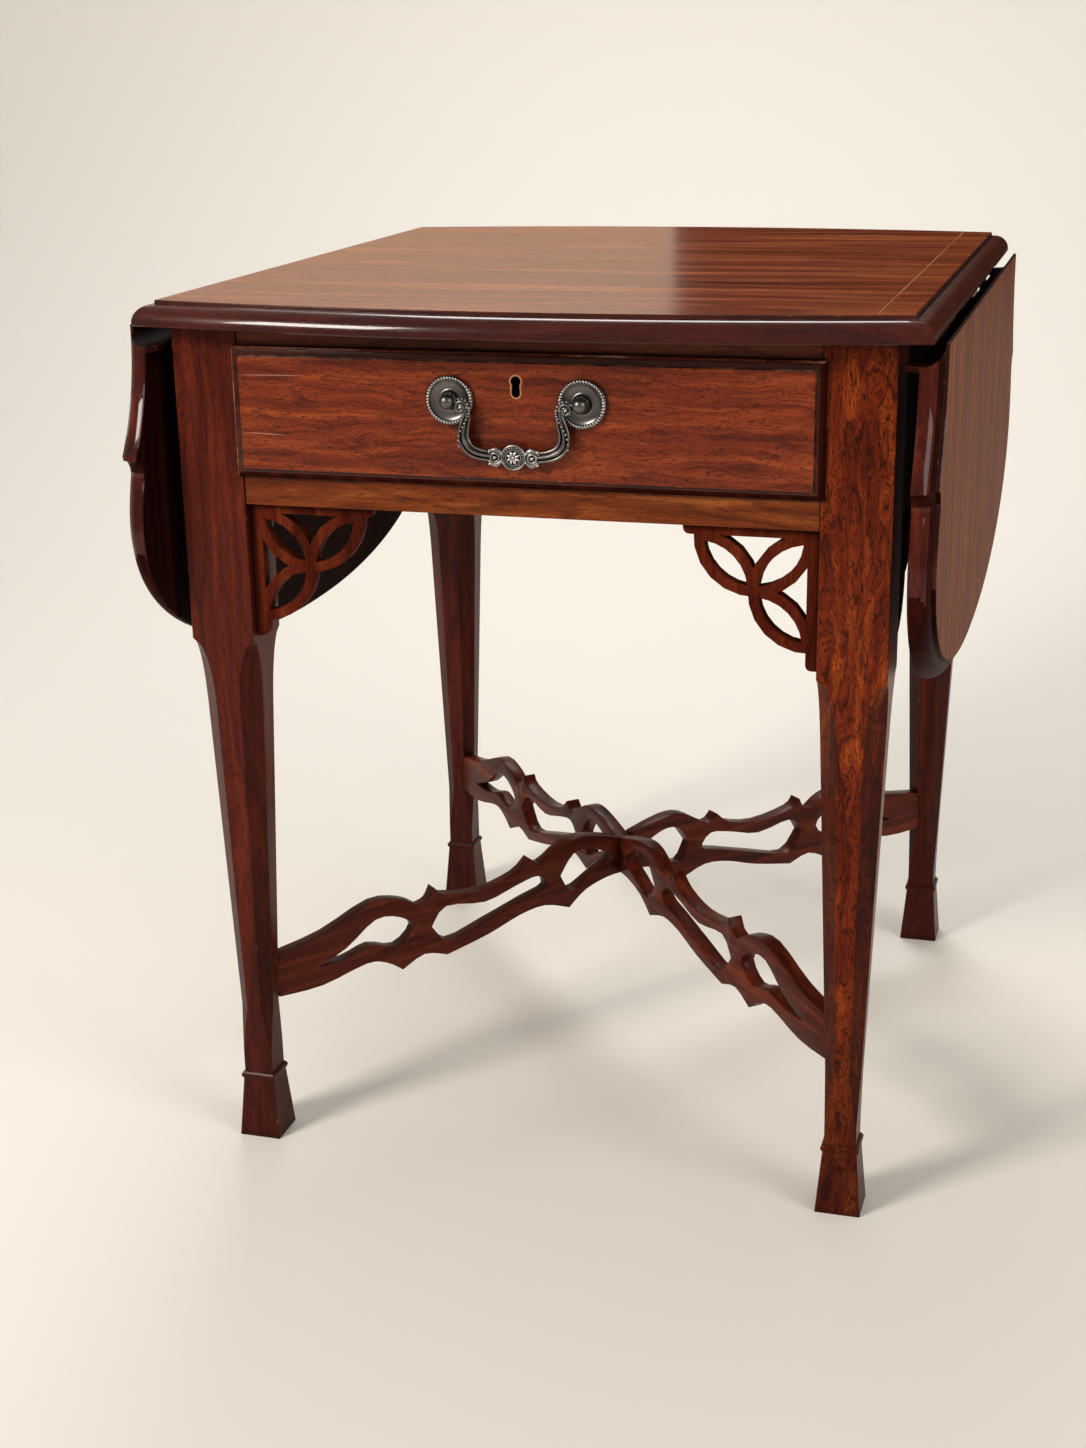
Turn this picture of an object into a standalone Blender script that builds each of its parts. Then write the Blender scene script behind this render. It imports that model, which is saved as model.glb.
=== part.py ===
import bpy
import bmesh
from math import pi, cos, sin, acos, hypot, sqrt, atan2
from mathutils import Vector
from mathutils.geometry import delaunay_2d_cdt

for thing in list(bpy.data.objects):
    bpy.data.objects.remove(thing, do_unlink=True)

# Drop-leaf occasional table in the butterfly Pembroke manner, metres, +Z up.
# The drawer faces -Y, the leaves hang at -X and +X, the origin is on the floor under the middle.

# Overall sizes
HEIGHT = 0.680
TOP_THICK = 0.018
LEG_X = 0.2375
LEG_Y = 0.2625
BLOCK = 0.050
SIDE_OVERHANG = 0.024
END_OVERHANG = 0.014
END_BOW = 0.030
GAP = 0.0003
FIT = 0.0006

# Edge moulding shared by the top and the leaves: a fillet, then a quarter round
FILLET = 0.003
FILLET_LEDGE = 0.0015
ROUND = 0.0125
UNDER_EASE = 0.002

# Legs, from the floor up
FOOT = 0.0345
FOOT_HEIGHT = 0.050
FOOT_NECK = 0.0262
COLLAR = 0.0292
COLLAR_HEIGHT = 0.006
ANKLE = 0.0242
ANKLE_HEIGHT = 0.018
BLOCK_DROP = 0.1055
TONGUE_HEIGHT = 0.052
TIP_HEIGHT = 0.040
CHAMFER_SHARE = 0.29
ARRIS = 0.0005

# Rails and the drawer opening
RAIL_SETBACK = 0.0015
RAIL_THICK = 0.020
APRON_HEIGHT = 0.130
LOWER_RAIL_HEIGHT = 0.0245
UPPER_RAIL_HEIGHT = 0.0160
TENON = 0.016
TENON_SHOULDER = 0.004
SIDE_RAIL_THICK = 0.014
RUNNER_WIDTH = 0.021
RUNNER_DEPTH = 0.016
GUIDE_RISE = 0.008

# Hinged fly supports in the outer layer of each side
FLY_THICK = 0.0175
FLY_PIVOT_Y = -0.070
FLY_LENGTH = 0.170
FLY_HEIGHT = 0.069
FLY_TOP_GAP = 0.0006
FLY_PIN_RADIUS = 0.003
FLY_TIP_LIFT = 0.026

# Leaves and their rule-joint hinges
AXIS_IN = 0.0115
AXIS_DOWN = 0.0020
JOINT_CLEAR = 0.0008
BEAK_REACH = 0.0095
BEAK_THICK = 0.0040
BEAK_LENGTH = 0.030
LEAF_CUSP_DROP = 0.093
LEAF_FLARE = 0.028
LEAF_STEP = 0.0115
LEAF_STEP_DROP = 0.015
LEAF_BULGE = 0.0075
LEAF_BULGE_DROP = 0.038
LEAF_SWEEP_DROP = 0.133
LEAF_SQUARENESS = 2.2
HINGE_Y = 0.150
HINGE_WIDTH = 0.042
HINGE_REACH = 0.034
HINGE_PLATE = 0.002
KNUCKLE = 0.0042
HINGE_PIN = 0.0020

# Fret brackets
FRET_LEG = 0.097
FRET_DROP = 0.102
FRET_THICK = 0.010
FRET_BAR = 0.0075
FRET_POST = 0.0090
FRET_BAND = 0.0075
FRET_PETAL = 0.039
FRET_START = 0.0078
FRET_SETBACK = 0.006
FRET_SIDE_SETBACK = 0.0008

# Crossed stretchers
STRETCHER_LOW = 0.112
STRETCHER_DEPTH = 0.0795
STRETCHER_THICK = 0.013
STRETCHER_TENON = 0.008
STRETCHER_SHOULDER = 0.005

# Drawer
LIP = 0.003
LIP_THICK = 0.0065
LIP_ROUND = 0.004
FRONT_DEPTH = 0.016
DRAWER_CLEAR = 0.001
DRAWER_ROOM = 0.036
LINING = 0.010
BOTTOM_THICK = 0.006
GROOVE = 0.004
BOTTOM_RISE = 0.008
BACK_DROP = 0.006

# Bail pull
PULL_SPACING = 0.096
PULL_DOWN = 0.0305
ROSETTE_RADIUS = 0.0172
ROSETTE_DISH = 0.0042
ROSETTE_BEAD = 0.0034
POST_RADIUS = 0.0036
KNOB_RADIUS = 0.0056
BAIL_STAND = 0.0075
BAIL_RADIUS = 0.0024
BAIL_PIN = 0.0016
BAIL_DROP = 0.0375
BAIL_SCROLL = 0.0080
BAIL_WAIST = 0.0118
BAIL_ELBOW = 0.0108
MEDALLION_RADIUS = 0.0086
MEDALLION_THICK = 0.0060
NUT_RADIUS = 0.0065
NUT_THICK = 0.004

# Lock
KEY_DOWN = 0.0165
KEY_ROUND = 0.0037
KEY_SLOT = 0.0050
KEY_SLOT_FOOT = 0.0062
KEY_DROP = 0.0112
ESCUTCHEON_RIM = 0.0013
ESCUTCHEON_THICK = 0.0015
LOCK_WIDTH = 0.046
LOCK_HEIGHT = 0.034
LOCK_THICK = 0.011
LOCK_INSET = 0.008
BOLT_WIDTH = 0.014
BOLT_THICK = 0.005
BOLT_THROW = 0.007
BOLT_BODY = 0.018

# Places worked out from the sizes above, the upper ones measured down from the underside of the top
UNDERSIDE = HEIGHT - TOP_THICK
RAIL_BOTTOM = UNDERSIDE - APRON_HEIGHT
OPENING_BOTTOM = RAIL_BOTTOM + LOWER_RAIL_HEIGHT
OPENING_TOP = UNDERSIDE - UPPER_RAIL_HEIGHT
BLOCK_BOTTOM = RAIL_BOTTOM - BLOCK_DROP
FLY_BOTTOM = UNDERSIDE - FLY_HEIGHT
LEAF_CUSP_Z = UNDERSIDE - LEAF_CUSP_DROP
LEAF_STEP_Z = LEAF_CUSP_Z - LEAF_STEP_DROP
LEAF_BULGE_Z = LEAF_STEP_Z - LEAF_BULGE_DROP
LEAF_BOTTOM = LEAF_BULGE_Z - LEAF_SWEEP_DROP
PULL_Z = OPENING_TOP - PULL_DOWN
KEY_Z = OPENING_TOP - KEY_DOWN
BLOCK_X = LEG_X + BLOCK / 2
BLOCK_Y = LEG_Y + BLOCK / 2
INNER_X = LEG_X - BLOCK / 2
INNER_Y = LEG_Y - BLOCK / 2
TOP_X = BLOCK_X + SIDE_OVERHANG
TOP_Y = BLOCK_Y + END_OVERHANG
RAIL_TOP = UNDERSIDE - GAP
AXIS_X = TOP_X - AXIS_IN
AXIS_Z = UNDERSIDE - AXIS_DOWN
LEAF_OUT = HEIGHT - AXIS_Z
LEAF_IN = AXIS_DOWN
COVE_Z = ROUND - AXIS_IN
COVE_RADIUS = ROUND + JOINT_CLEAR
COVE_CENTRE = (LEAF_OUT - FILLET - ROUND, COVE_Z)
COVE_FOOT = COVE_Z - COVE_RADIUS
LEAF_TOP = AXIS_Z + COVE_Z + GAP * 2
RAIL_FACE = BLOCK_Y - RAIL_SETBACK
LIP_BACK = BLOCK_Y + GAP
DRAWER_FACE = LIP_BACK + LIP_THICK


def finish(name, red, green, blue, rough, metal=0.0):
    made = bpy.data.materials.new(name)
    made.use_nodes = True
    shader = made.node_tree.nodes["Principled BSDF"]
    shader.inputs["Base Color"].default_value = (red, green, blue, 1)
    shader.inputs["Roughness"].default_value = rough
    shader.inputs["Metallic"].default_value = metal
    return made


mahogany = finish("polished mahogany", 0.18, 0.035, 0.012, 0.25)
flame = finish("flame mahogany", 0.26, 0.06, 0.018, 0.25)
oak = finish("oak lining", 0.42, 0.27, 0.14, 0.6)
pewter = finish("antiqued pewter", 0.28, 0.27, 0.26, 0.35, 1.0)
brass = finish("dull brass", 0.45, 0.27, 0.10, 0.4, 1.0)
iron = finish("blackened iron", 0.06, 0.06, 0.06, 0.5, 1.0)

pieces = {}


def solid(name, bm, material, origin=(0, 0, 0), smooth=0.0):
    bmesh.ops.remove_doubles(bm, verts=bm.verts, dist=1e-7)
    bmesh.ops.recalc_face_normals(bm, faces=bm.faces)
    bmesh.ops.translate(bm, verts=bm.verts, vec=-Vector(origin))
    mesh = bpy.data.meshes.new(name)
    bm.to_mesh(mesh)
    bm.free()
    mesh.materials.append(material)
    if smooth:
        mesh.shade_smooth()
        mesh.set_sharp_from_angle(angle=smooth)
    made = bpy.data.objects.new(name, mesh)
    made.location = origin
    bpy.context.scene.collection.objects.link(made)
    pieces[name] = made
    return made


def loft(bm, rings):
    # closed rings of equal count, joined in turn and capped at both ends
    rows = [[bm.verts.new(p) for p in ring] for ring in rings]
    count = len(rows[0])
    for low, high in zip(rows, rows[1:]):
        for i in range(count):
            j = (i + 1) % count
            bm.faces.new((low[i], low[j], high[j], high[i]))
    bm.faces.new(rows[0])
    bm.faces.new(rows[-1])


def block(bm, low, high):
    (x0, y0, z0), (x1, y1, z1) = low, high
    base = [(x0, y0), (x1, y0), (x1, y1), (x0, y1)]
    loft(bm, [[(x, y, z0) for x, y in base], [(x, y, z1) for x, y in base]])


def box(name, low, high, material, origin=(0, 0, 0)):
    bm = bmesh.new()
    block(bm, [min(a, b) for a, b in zip(low, high)], [max(a, b) for a, b in zip(low, high)])
    return solid(name, bm, material, origin)


def anticlockwise(outline):
    area = sum(a[0] * b[1] - b[0] * a[1] for a, b in zip(outline, outline[1:] + outline[:1]))
    return outline if area > 0 else outline[::-1]


def plate(bm, bodies, holes, low, high, place):
    # the union of flat outlines less the holes, given thickness from low to high
    points, faces = [], []
    for outline in bodies + holes:
        start = len(points)
        points += [Vector(p) for p in anticlockwise(outline)]
        faces.append(list(range(start, len(points))))
    flat, _, tris, _, _, owners = delaunay_2d_cdt(points, [], faces, 0, 1e-6)
    kept = [t for t, own in zip(tris, owners) if own and max(own) < len(bodies)]
    used = sorted({i for t in kept for i in t})
    lower = {i: bm.verts.new(place(flat[i][0], flat[i][1], low)) for i in used}
    upper = {i: bm.verts.new(place(flat[i][0], flat[i][1], high)) for i in used}
    sides = set()
    for t in kept:
        bm.faces.new([lower[i] for i in t])
        bm.faces.new([upper[i] for i in t])
        for a, b in zip(t, t[1:] + t[:1]):
            if (b, a) in sides:
                sides.remove((b, a))
            else:
                sides.add((a, b))
    for a, b in sides:
        bm.faces.new((lower[a], lower[b], upper[b], upper[a]))


def circle(radius, count, x=0.0, y=0.0):
    turns = [2 * pi * i / count for i in range(count)]
    return [(x + radius * cos(a), y + radius * sin(a)) for a in turns]


def turned(bm, profile, place, count):
    # profile of (radius, height) turned about the local third axis
    rings = []
    for radius, height in profile:
        rings.append([place(x, y, height) for x, y in circle(radius, count)])
    loft(bm, rings)


def smooth_line(points, steps):
    # a rounded line through the points, with steps pieces between two neighbours
    line = []
    for i in range(len(points) - 1):
        before = points[max(i - 1, 0)]
        a, b = points[i], points[i + 1]
        after = points[min(i + 2, len(points) - 1)]
        for k in range(steps):
            t = k / steps
            line.append(tuple(
                0.5 * (2 * q + (r - p) * t + (2 * p - 5 * q + 4 * r - s) * t * t
                       + (3 * q - p - 3 * r + s) * t ** 3)
                for p, q, r, s in zip(before, a, b, after)))
    return line + [points[-1]]


def modify(target, other, operation):
    change = target.modifiers.new(operation.lower(), "BOOLEAN")
    change.operation = operation
    change.solver = "EXACT"
    change.object = other
    other.hide_render = True
    other.display_type = "WIRE"
    other.parent = target
    other.matrix_parent_inverse = target.matrix_world.inverted()


def tool(bm, name):
    bmesh.ops.recalc_face_normals(bm, faces=bm.faces)
    mesh = bpy.data.meshes.new(name)
    bm.to_mesh(mesh)
    bm.free()
    made = bpy.data.objects.new(name, mesh)
    bpy.context.scene.collection.objects.link(made)
    return made


def cut_boxes(target, boxes):
    bm = bmesh.new()
    for low, high in boxes:
        block(bm, [min(a, b) for a, b in zip(low, high)], [max(a, b) for a, b in zip(low, high)])
    bpy.context.view_layer.update()
    modify(target, tool(bm, target.name + "_cutter"), "DIFFERENCE")


def grown(low, high, by):
    return ([min(a, b) - by for a, b in zip(low, high)], [max(a, b) + by for a, b in zip(low, high)])


# Mortises that each leg receives, filled in by the rails and stretchers
mortises = {}


def leg_name(sx, sy):
    return "leg_" + ("front" if sy < 0 else "back") + "_" + ("left" if sx < 0 else "right")


def leg_size(z):
    # side of the tapered square between the ankle and the block
    foot_end = FOOT_HEIGHT + COLLAR_HEIGHT + ANKLE_HEIGHT
    share = (z - foot_end) / (BLOCK_BOTTOM - foot_end)
    return ANKLE + (BLOCK - ANKLE) * min(max(share, 0), 1)


def tapered_rail(name, axis, end, across, height, shoulder, material):
    # a rail with a tenon on both ends, as rings along its length
    (a0, a1), (z0, z1) = across, height
    inset = [(a0 + shoulder, a1 - shoulder), (z0 + shoulder, z1 - shoulder)]
    full = [(a0, a1), (z0, z1)]

    def ring(at, sizes):
        (p0, p1), (q0, q1) = sizes
        corners = [(p0, q0), (p1, q0), (p1, q1), (p0, q1)]
        return [(at, p, q) if axis == "x" else (p, at, q) for p, q in corners]

    bm = bmesh.new()
    reach = end - GAP
    loft(bm, [ring(-reach - TENON, inset), ring(-reach, inset), ring(-reach, full),
              ring(reach, full), ring(reach, inset), ring(reach + TENON, inset)])
    for side in (-1, 1):
        low = (side * (reach - FIT), inset[0][0], inset[1][0])
        high = (side * (reach + TENON), inset[0][1], inset[1][1])
        if axis == "y":
            low, high = (low[1], low[0], low[2]), (high[1], high[0], high[2])
        if axis == "x":
            leg = leg_name(side, across[0])
        else:
            leg = leg_name(across[0], side)
        mortises.setdefault(leg, []).append(grown(low, high, GAP))
    return solid(name, bm, material)


def make_rails():
    front = (-RAIL_FACE, -RAIL_FACE + RAIL_THICK)
    back = (RAIL_FACE - RAIL_THICK, RAIL_FACE)
    upper = tapered_rail("rail_front_upper", "x", INNER_X, front, (OPENING_TOP, RAIL_TOP),
                         TENON_SHOULDER, mahogany)
    tapered_rail("rail_front_lower", "x", INNER_X, front, (RAIL_BOTTOM, OPENING_BOTTOM),
                 TENON_SHOULDER, flame)
    tapered_rail("rail_back", "x", INNER_X, back, (RAIL_BOTTOM, RAIL_TOP), TENON_SHOULDER, mahogany)
    outer = BLOCK_X - RAIL_SETBACK - FLY_THICK - GAP
    for word, side in (("left", -1), ("right", 1)):
        across = sorted((side * outer, side * (outer - SIDE_RAIL_THICK)))
        tapered_rail("side_rail_" + word, "y", INNER_Y, across, (RAIL_BOTTOM, RAIL_TOP),
                     TENON_SHOULDER, mahogany)
    # the lock's bolt shoots into a mortise in the upper rail
    bolt_y = -lock_y() + LOCK_THICK / 2
    cut_boxes(upper, [((-BOLT_WIDTH / 2 - FIT, bolt_y - BOLT_THICK / 2 - FIT, OPENING_TOP - FIT),
                       (BOLT_WIDTH / 2 + FIT, bolt_y + BOLT_THICK / 2 + FIT,
                        OPENING_TOP + BOLT_THROW + FIT))])


def make_legs():
    foot_end = FOOT_HEIGHT + COLLAR_HEIGHT + ANKLE_HEIGHT
    stations = [(0, FOOT, ARRIS), (FOOT_HEIGHT, FOOT_NECK, ARRIS)]
    for k in range(5):
        swell = FOOT_NECK + (COLLAR - FOOT_NECK) * sin(pi * k / 4)
        stations.append((FOOT_HEIGHT + COLLAR_HEIGHT * k / 4, swell, ARRIS))
    stations.append((FOOT_HEIGHT + COLLAR_HEIGHT, ANKLE, ARRIS))
    stations.append((foot_end, ANKLE, ARRIS))
    for share in (0.35, 0.7, 1.0):
        z = foot_end + TIP_HEIGHT * share
        stations.append((z, leg_size(z), ARRIS + (CHAMFER_SHARE * leg_size(z) - ARRIS) * share))
    tongue = BLOCK_BOTTOM - TONGUE_HEIGHT
    for share in (0, 0.3, 0.5, 0.68, 0.82, 0.92, 1.0):
        z = tongue + TONGUE_HEIGHT * share
        hollow = sqrt(max(1 - share ** 2, 0))
        stations.append((z, leg_size(z), max(CHAMFER_SHARE * leg_size(z) * hollow, ARRIS)))
    stations.append((RAIL_TOP, BLOCK, ARRIS))
    for sx in (-1, 1):
        for sy in (-1, 1):
            rings = []
            for z, size, chamfer in stations:
                h, k = size / 2, size / 2 - chamfer
                ring = [(h, -k), (h, k), (k, h), (-k, h), (-h, k), (-h, -k), (-k, -h), (k, -h)]
                rings.append([(sx * LEG_X + x, sy * LEG_Y + y, z) for x, y in ring])
            bm = bmesh.new()
            loft(bm, [r for i, r in enumerate(rings) if i != 2])
            leg = solid(leg_name(sx, sy), bm, flame if sx > 0 else mahogany)
            cut_boxes(leg, mortises[leg.name])
            add_stretcher_mortise(leg, sx, sy)


def top_ring(inset, z):
    edge = []
    count = 14
    half = TOP_X - inset
    for i in range(count + 1):
        x = -half + 2 * half * i / count
        edge.append((x, TOP_Y - inset + END_BOW * (1 - (x / TOP_X) ** 2)))
    return [(x, -y, z) for x, y in edge] + [(x, y, z) for x, y in reversed(edge)]


def edge_profile():
    # (inset, height below the field), from the underside up to the field
    steps = [(UNDER_EASE, TOP_THICK), (0, TOP_THICK - UNDER_EASE * 0.6)]
    count = 5
    for k in range(count + 1):
        turn = pi / 2 * k / count
        steps.append((ROUND * (1 - cos(turn)), FILLET + ROUND * (1 - sin(turn))))
    steps.append((ROUND + FILLET_LEDGE, FILLET))
    steps.append((ROUND + FILLET_LEDGE, 0))
    return steps


def hinge_places():
    for word, side in (("left", -1), ("right", 1)):
        for end, y in (("front", -HINGE_Y), ("back", HINGE_Y)):
            yield word + "_" + end, side, y


def make_top():
    bm = bmesh.new()
    loft(bm, [top_ring(inset, HEIGHT - down) for inset, down in edge_profile()])
    top = solid("table_top", bm, mahogany)
    pockets = []
    for _, side, y in hinge_places():
        half = HINGE_WIDTH / 2 + GAP
        pockets.append(((side * (AXIS_X - HINGE_REACH - GAP), y - half, UNDERSIDE - FIT),
                        (side * (TOP_X + FIT), y + half, UNDERSIDE + HINGE_PLATE + GAP)))
    cut_boxes(top, pockets)


def leaf_edge():
    # half outline of the hanging leaf as (y, z, inward y, inward z), from its top to its bottom middle
    line = []
    start = TOP_Y
    cusp = start + LEAF_FLARE
    bulge = start + LEAF_FLARE - LEAF_STEP + LEAF_BULGE
    rows = 6
    for k in range(rows + 1):
        share = k / rows
        line.append((start + LEAF_FLARE * share ** 2.2, LEAF_TOP + (LEAF_CUSP_Z - LEAF_TOP) * share, -1, 0))
    cove = 3
    for k in range(1, cove + 1):
        turn = pi / 2 * k / cove
        line.append((cusp - LEAF_STEP * sin(turn),
                     LEAF_CUSP_Z + (LEAF_STEP_Z - LEAF_CUSP_Z) * (1 - cos(turn)), -1, 0))
    rows = 4
    for k in range(1, rows):
        share = k / rows
        line.append((cusp - LEAF_STEP + LEAF_BULGE * sin(pi / 2 * share),
                     LEAF_STEP_Z + (LEAF_BULGE_Z - LEAF_STEP_Z) * share, -1, 0))
    rows = 13
    drop = LEAF_BULGE_Z - LEAF_BOTTOM
    power = 2 / LEAF_SQUARENESS
    for k in range(rows + 1):
        turn = pi / 2 * k / rows
        across, down = max(cos(turn), 0) ** power, sin(turn) ** power
        slope_y = across ** (LEAF_SQUARENESS - 1) / bulge
        slope_z = down ** (LEAF_SQUARENESS - 1) / drop
        size = hypot(slope_y, slope_z)
        line.append((bulge * across, LEAF_BULGE_Z - drop * down, -slope_y / size, slope_z / size))
    return line


def make_leaf(word, side):
    half = leaf_edge()
    rings = []
    for inset, down in edge_profile():
        row = [(y + inset * ny, z + inset * nz) for y, z, ny, nz in half]
        row = row + [(-y, z) for y, z in reversed(row[:-1])]
        rings.append([(side * (AXIS_X + LEAF_OUT - down), y, z) for y, z in row])
    bm = bmesh.new()
    loft(bm, rings)
    origin = (side * AXIS_X, 0, AXIS_Z)
    leaf = solid("leaf_" + word, bm, mahogany, origin)

    def place(u, w, y):
        return (side * (AXIS_X + u), y, AXIS_Z + w)

    # the hollow of the rule joint is cut along the leaf's top and out through the moulded ends
    above = COVE_Z + FIT * 4
    count = 6
    hollow = [(COVE_CENTRE[0] + COVE_RADIUS, above)]
    for k in range(count + 1):
        turn = -pi / 2 * k / count
        hollow.append((COVE_CENTRE[0] + COVE_RADIUS * cos(turn), COVE_CENTRE[1] + COVE_RADIUS * sin(turn)))
    hollow += [(LEAF_IN - FIT, COVE_FOOT), (LEAF_IN - FIT, above)]
    bm = bmesh.new()
    plate(bm, [hollow], [], -TOP_Y - ROUND, TOP_Y + ROUND, place)
    bpy.context.view_layer.update()
    modify(leaf, tool(bm, leaf.name + "_hollow"), "DIFFERENCE")
    # a short tongue closes the joint from below at both ends
    tongue = [(LEAF_IN + FIT, COVE_FOOT - BEAK_THICK - FIT), (LEAF_IN + FIT, COVE_FOOT),
              (LEAF_IN - BEAK_REACH / 2, COVE_FOOT), (LEAF_IN - BEAK_REACH, COVE_FOOT + FIT * 2),
              (LEAF_IN - BEAK_REACH, COVE_FOOT + FIT * 2 - BEAK_THICK)]
    bm = bmesh.new()
    for end in (-1, 1):
        low, high = sorted((end * (TOP_Y - FIT), end * (TOP_Y - BEAK_LENGTH)))
        plate(bm, [tongue], [], low, high, place)
    modify(leaf, tool(bm, leaf.name + "_tongues"), "UNION")
    pockets = []
    for _, at, y in hinge_places():
        if at == side:
            width = HINGE_WIDTH / 2 + GAP
            pockets.append((place(-LEAF_IN, -HINGE_REACH - GAP, y - width),
                            place(LEAF_IN + HINGE_PLATE + GAP, COVE_FOOT + FIT * 4, y + width)))
    cut_boxes(leaf, pockets)


def make_hinge(word, side, y):
    inner = KNUCKLE + FIT * 3
    width = HINGE_WIDTH / 2
    third = HINGE_WIDTH / 6
    bore = circle(HINGE_PIN + GAP, 12)
    barrel = circle(KNUCKLE, 16)

    def place(u, w, along):
        return (side * (AXIS_X + u), y + along, AXIS_Z + w)

    top_plate = [(-HINGE_REACH, AXIS_DOWN), (0, AXIS_DOWN), (0, AXIS_DOWN + HINGE_PLATE),
                 (-HINGE_REACH, AXIS_DOWN + HINGE_PLATE)]
    top_neck = [(-KNUCKLE, 0), (0, 0), (0, AXIS_DOWN + HINGE_PLATE), (-KNUCKLE, AXIS_DOWN + HINGE_PLATE)]
    bm = bmesh.new()
    plate(bm, [top_plate, top_neck, barrel], [bore], -width, width, place)
    fixed = solid("hinge_" + word + "_plate", bm, iron)
    edge = AXIS_DOWN + HINGE_PLATE + FIT
    cut_boxes(fixed, [(place(-inner, -inner, -third - GAP / 2), place(inner, edge, third + GAP / 2))])
    # the flap on the leaf, as it hangs
    leaf_plate = [(w, u) for u, w in top_plate]
    leaf_neck = [(w, u) for u, w in top_neck]
    bm = bmesh.new()
    plate(bm, [leaf_plate, leaf_neck, barrel], [bore], -width, width, place)
    flap = solid("hinge_" + word + "_flap", bm, iron, (side * AXIS_X, 0, AXIS_Z))
    cut_boxes(flap, [(place(-inner, -inner, end * (third - GAP / 2)), place(edge, inner, end * (width + FIT)))
                     for end in (-1, 1)])
    bm = bmesh.new()
    plate(bm, [circle(HINGE_PIN, 12)], [], -width, width, place)
    solid("hinge_" + word + "_pin", bm, iron)


def make_fly(word, side):
    # outer layer of the side: a fixed hanger, and an arm that swings on a wooden knuckle
    face = BLOCK_X - RAIL_SETBACK
    middle = face - FLY_THICK / 2
    radius = FLY_THICK / 2
    top = RAIL_TOP - FLY_TOP_GAP
    step = (top - FLY_BOTTOM) / 3

    def place(x, y, z):
        return (side * (middle + x), FLY_PIVOT_Y + y, z)

    hanger_end = -INNER_Y + GAP - FLY_PIVOT_Y
    bore = circle(FLY_PIN_RADIUS + GAP, 12)
    barrel = circle(radius, 20)
    bm = bmesh.new()
    plate(bm, [[(-radius, hanger_end), (radius, hanger_end), (radius, 0), (-radius, 0)], barrel],
          [bore], RAIL_BOTTOM, top, place)
    hanger = solid("fly_hanger_" + word, bm, mahogany)
    gap = radius + FIT
    cut_boxes(hanger, [(place(-gap, -gap, FLY_BOTTOM + step - GAP / 2),
                        place(gap, gap, FLY_BOTTOM + 2 * step + GAP / 2))])
    bm = bmesh.new()
    plate(bm, [[(-radius, 0), (radius, 0), (radius, FLY_LENGTH), (-radius, FLY_LENGTH)], barrel],
          [bore], FLY_BOTTOM, top, place)
    arm = solid("fly_arm_" + word, bm, mahogany, place(0, 0, 0))
    low = (place(-gap, -gap, FLY_BOTTOM - FIT), place(gap, gap, FLY_BOTTOM + step + GAP / 2))
    high = (place(-gap, -gap, FLY_BOTTOM + 2 * step - GAP / 2), place(gap, gap, top + FIT))
    cut_boxes(arm, [low, high])
    # the free end is swept up to a thin tip
    count = 6
    sweep = [(FLY_LENGTH + FIT, FLY_BOTTOM - FIT)]
    for k in range(count + 1):
        turn = pi / 2 * k / count
        sweep.append((FLY_LENGTH + FIT - FLY_LENGTH / 3 * cos(turn),
                      FLY_BOTTOM - FIT + FLY_TIP_LIFT * sin(turn)))
    bm = bmesh.new()
    plate(bm, [sweep], [], -gap, gap, lambda y, z, x: place(x, y, z))
    bpy.context.view_layer.update()
    modify(arm, tool(bm, arm.name + "_sweep"), "DIFFERENCE")
    bm = bmesh.new()
    plate(bm, [circle(FLY_PIN_RADIUS, 12)], [], FLY_BOTTOM - step / 2, top, place)
    solid("fly_pin_" + word, bm, iron)


def make_drawer_supports():
    rail_back = RAIL_FACE - RAIL_THICK - GAP
    side_face = BLOCK_X - RAIL_SETBACK - FLY_THICK - SIDE_RAIL_THICK - 2 * GAP
    for word, side in (("left", -1), ("right", 1)):
        inside = INNER_X - GAP * 2
        low = OPENING_BOTTOM - RUNNER_DEPTH
        box("drawer_runner_" + word, (side * (inside - RUNNER_WIDTH), -rail_back, low),
            (side * inside, rail_back, OPENING_BOTTOM), oak)
        box("drawer_guide_" + word, (side * (inside + GAP), -INNER_Y + GAP, low),
            (side * side_face, INNER_Y - GAP, OPENING_BOTTOM + GUIDE_RISE), oak)
        box("drawer_kicker_" + word, (side * (inside - RUNNER_WIDTH), -INNER_Y + GAP, OPENING_TOP),
            (side * side_face, INNER_Y - GAP, RAIL_TOP), oak)


def petal(ax, ay, bx, by, grow):
    # the lens of two quarter arcs between opposite corners of a square
    side = (abs(ax - bx) + abs(ay - by)) / 2
    radius = side + grow
    reach = (side + sqrt(2 * radius ** 2 - side ** 2)) / 2
    cx, cy = (ax + bx) / 2, (ay + by) / 2
    half = (2 * reach - side) / 2
    sx, sy = (1 if bx > ax else -1), (1 if by > ay else -1)
    first = (cx - sx * half, cy - sy * half)
    outline = []
    count = 6
    for centre in ((cx + sx * side / 2, cy - sy * side / 2), (cx - sx * side / 2, cy + sy * side / 2)):
        begin = atan2(first[1] - centre[1], first[0] - centre[0])
        last = (2 * cx - first[0], 2 * cy - first[1])
        turn = atan2(last[1] - centre[1], last[0] - centre[0]) - begin
        turn = (turn + pi) % (2 * pi) - pi
        for k in range(count):
            angle = begin + turn * k / count
            outline.append((centre[0] + radius * cos(angle), centre[1] + radius * sin(angle)))
        first = last
    return outline


def rounded_bar(x0, y0, x1, y1, radius):
    # a bar from the corner whose far outer corner is rounded
    count = 3
    turns = [pi / 2 * k / count for k in range(count + 1)]
    arc = [(x1 - radius + radius * cos(a), y1 - radius + radius * sin(a)) for a in turns]
    return [(x0, y0), (x1, y0)] + arc + [(x0, y1)]


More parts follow.
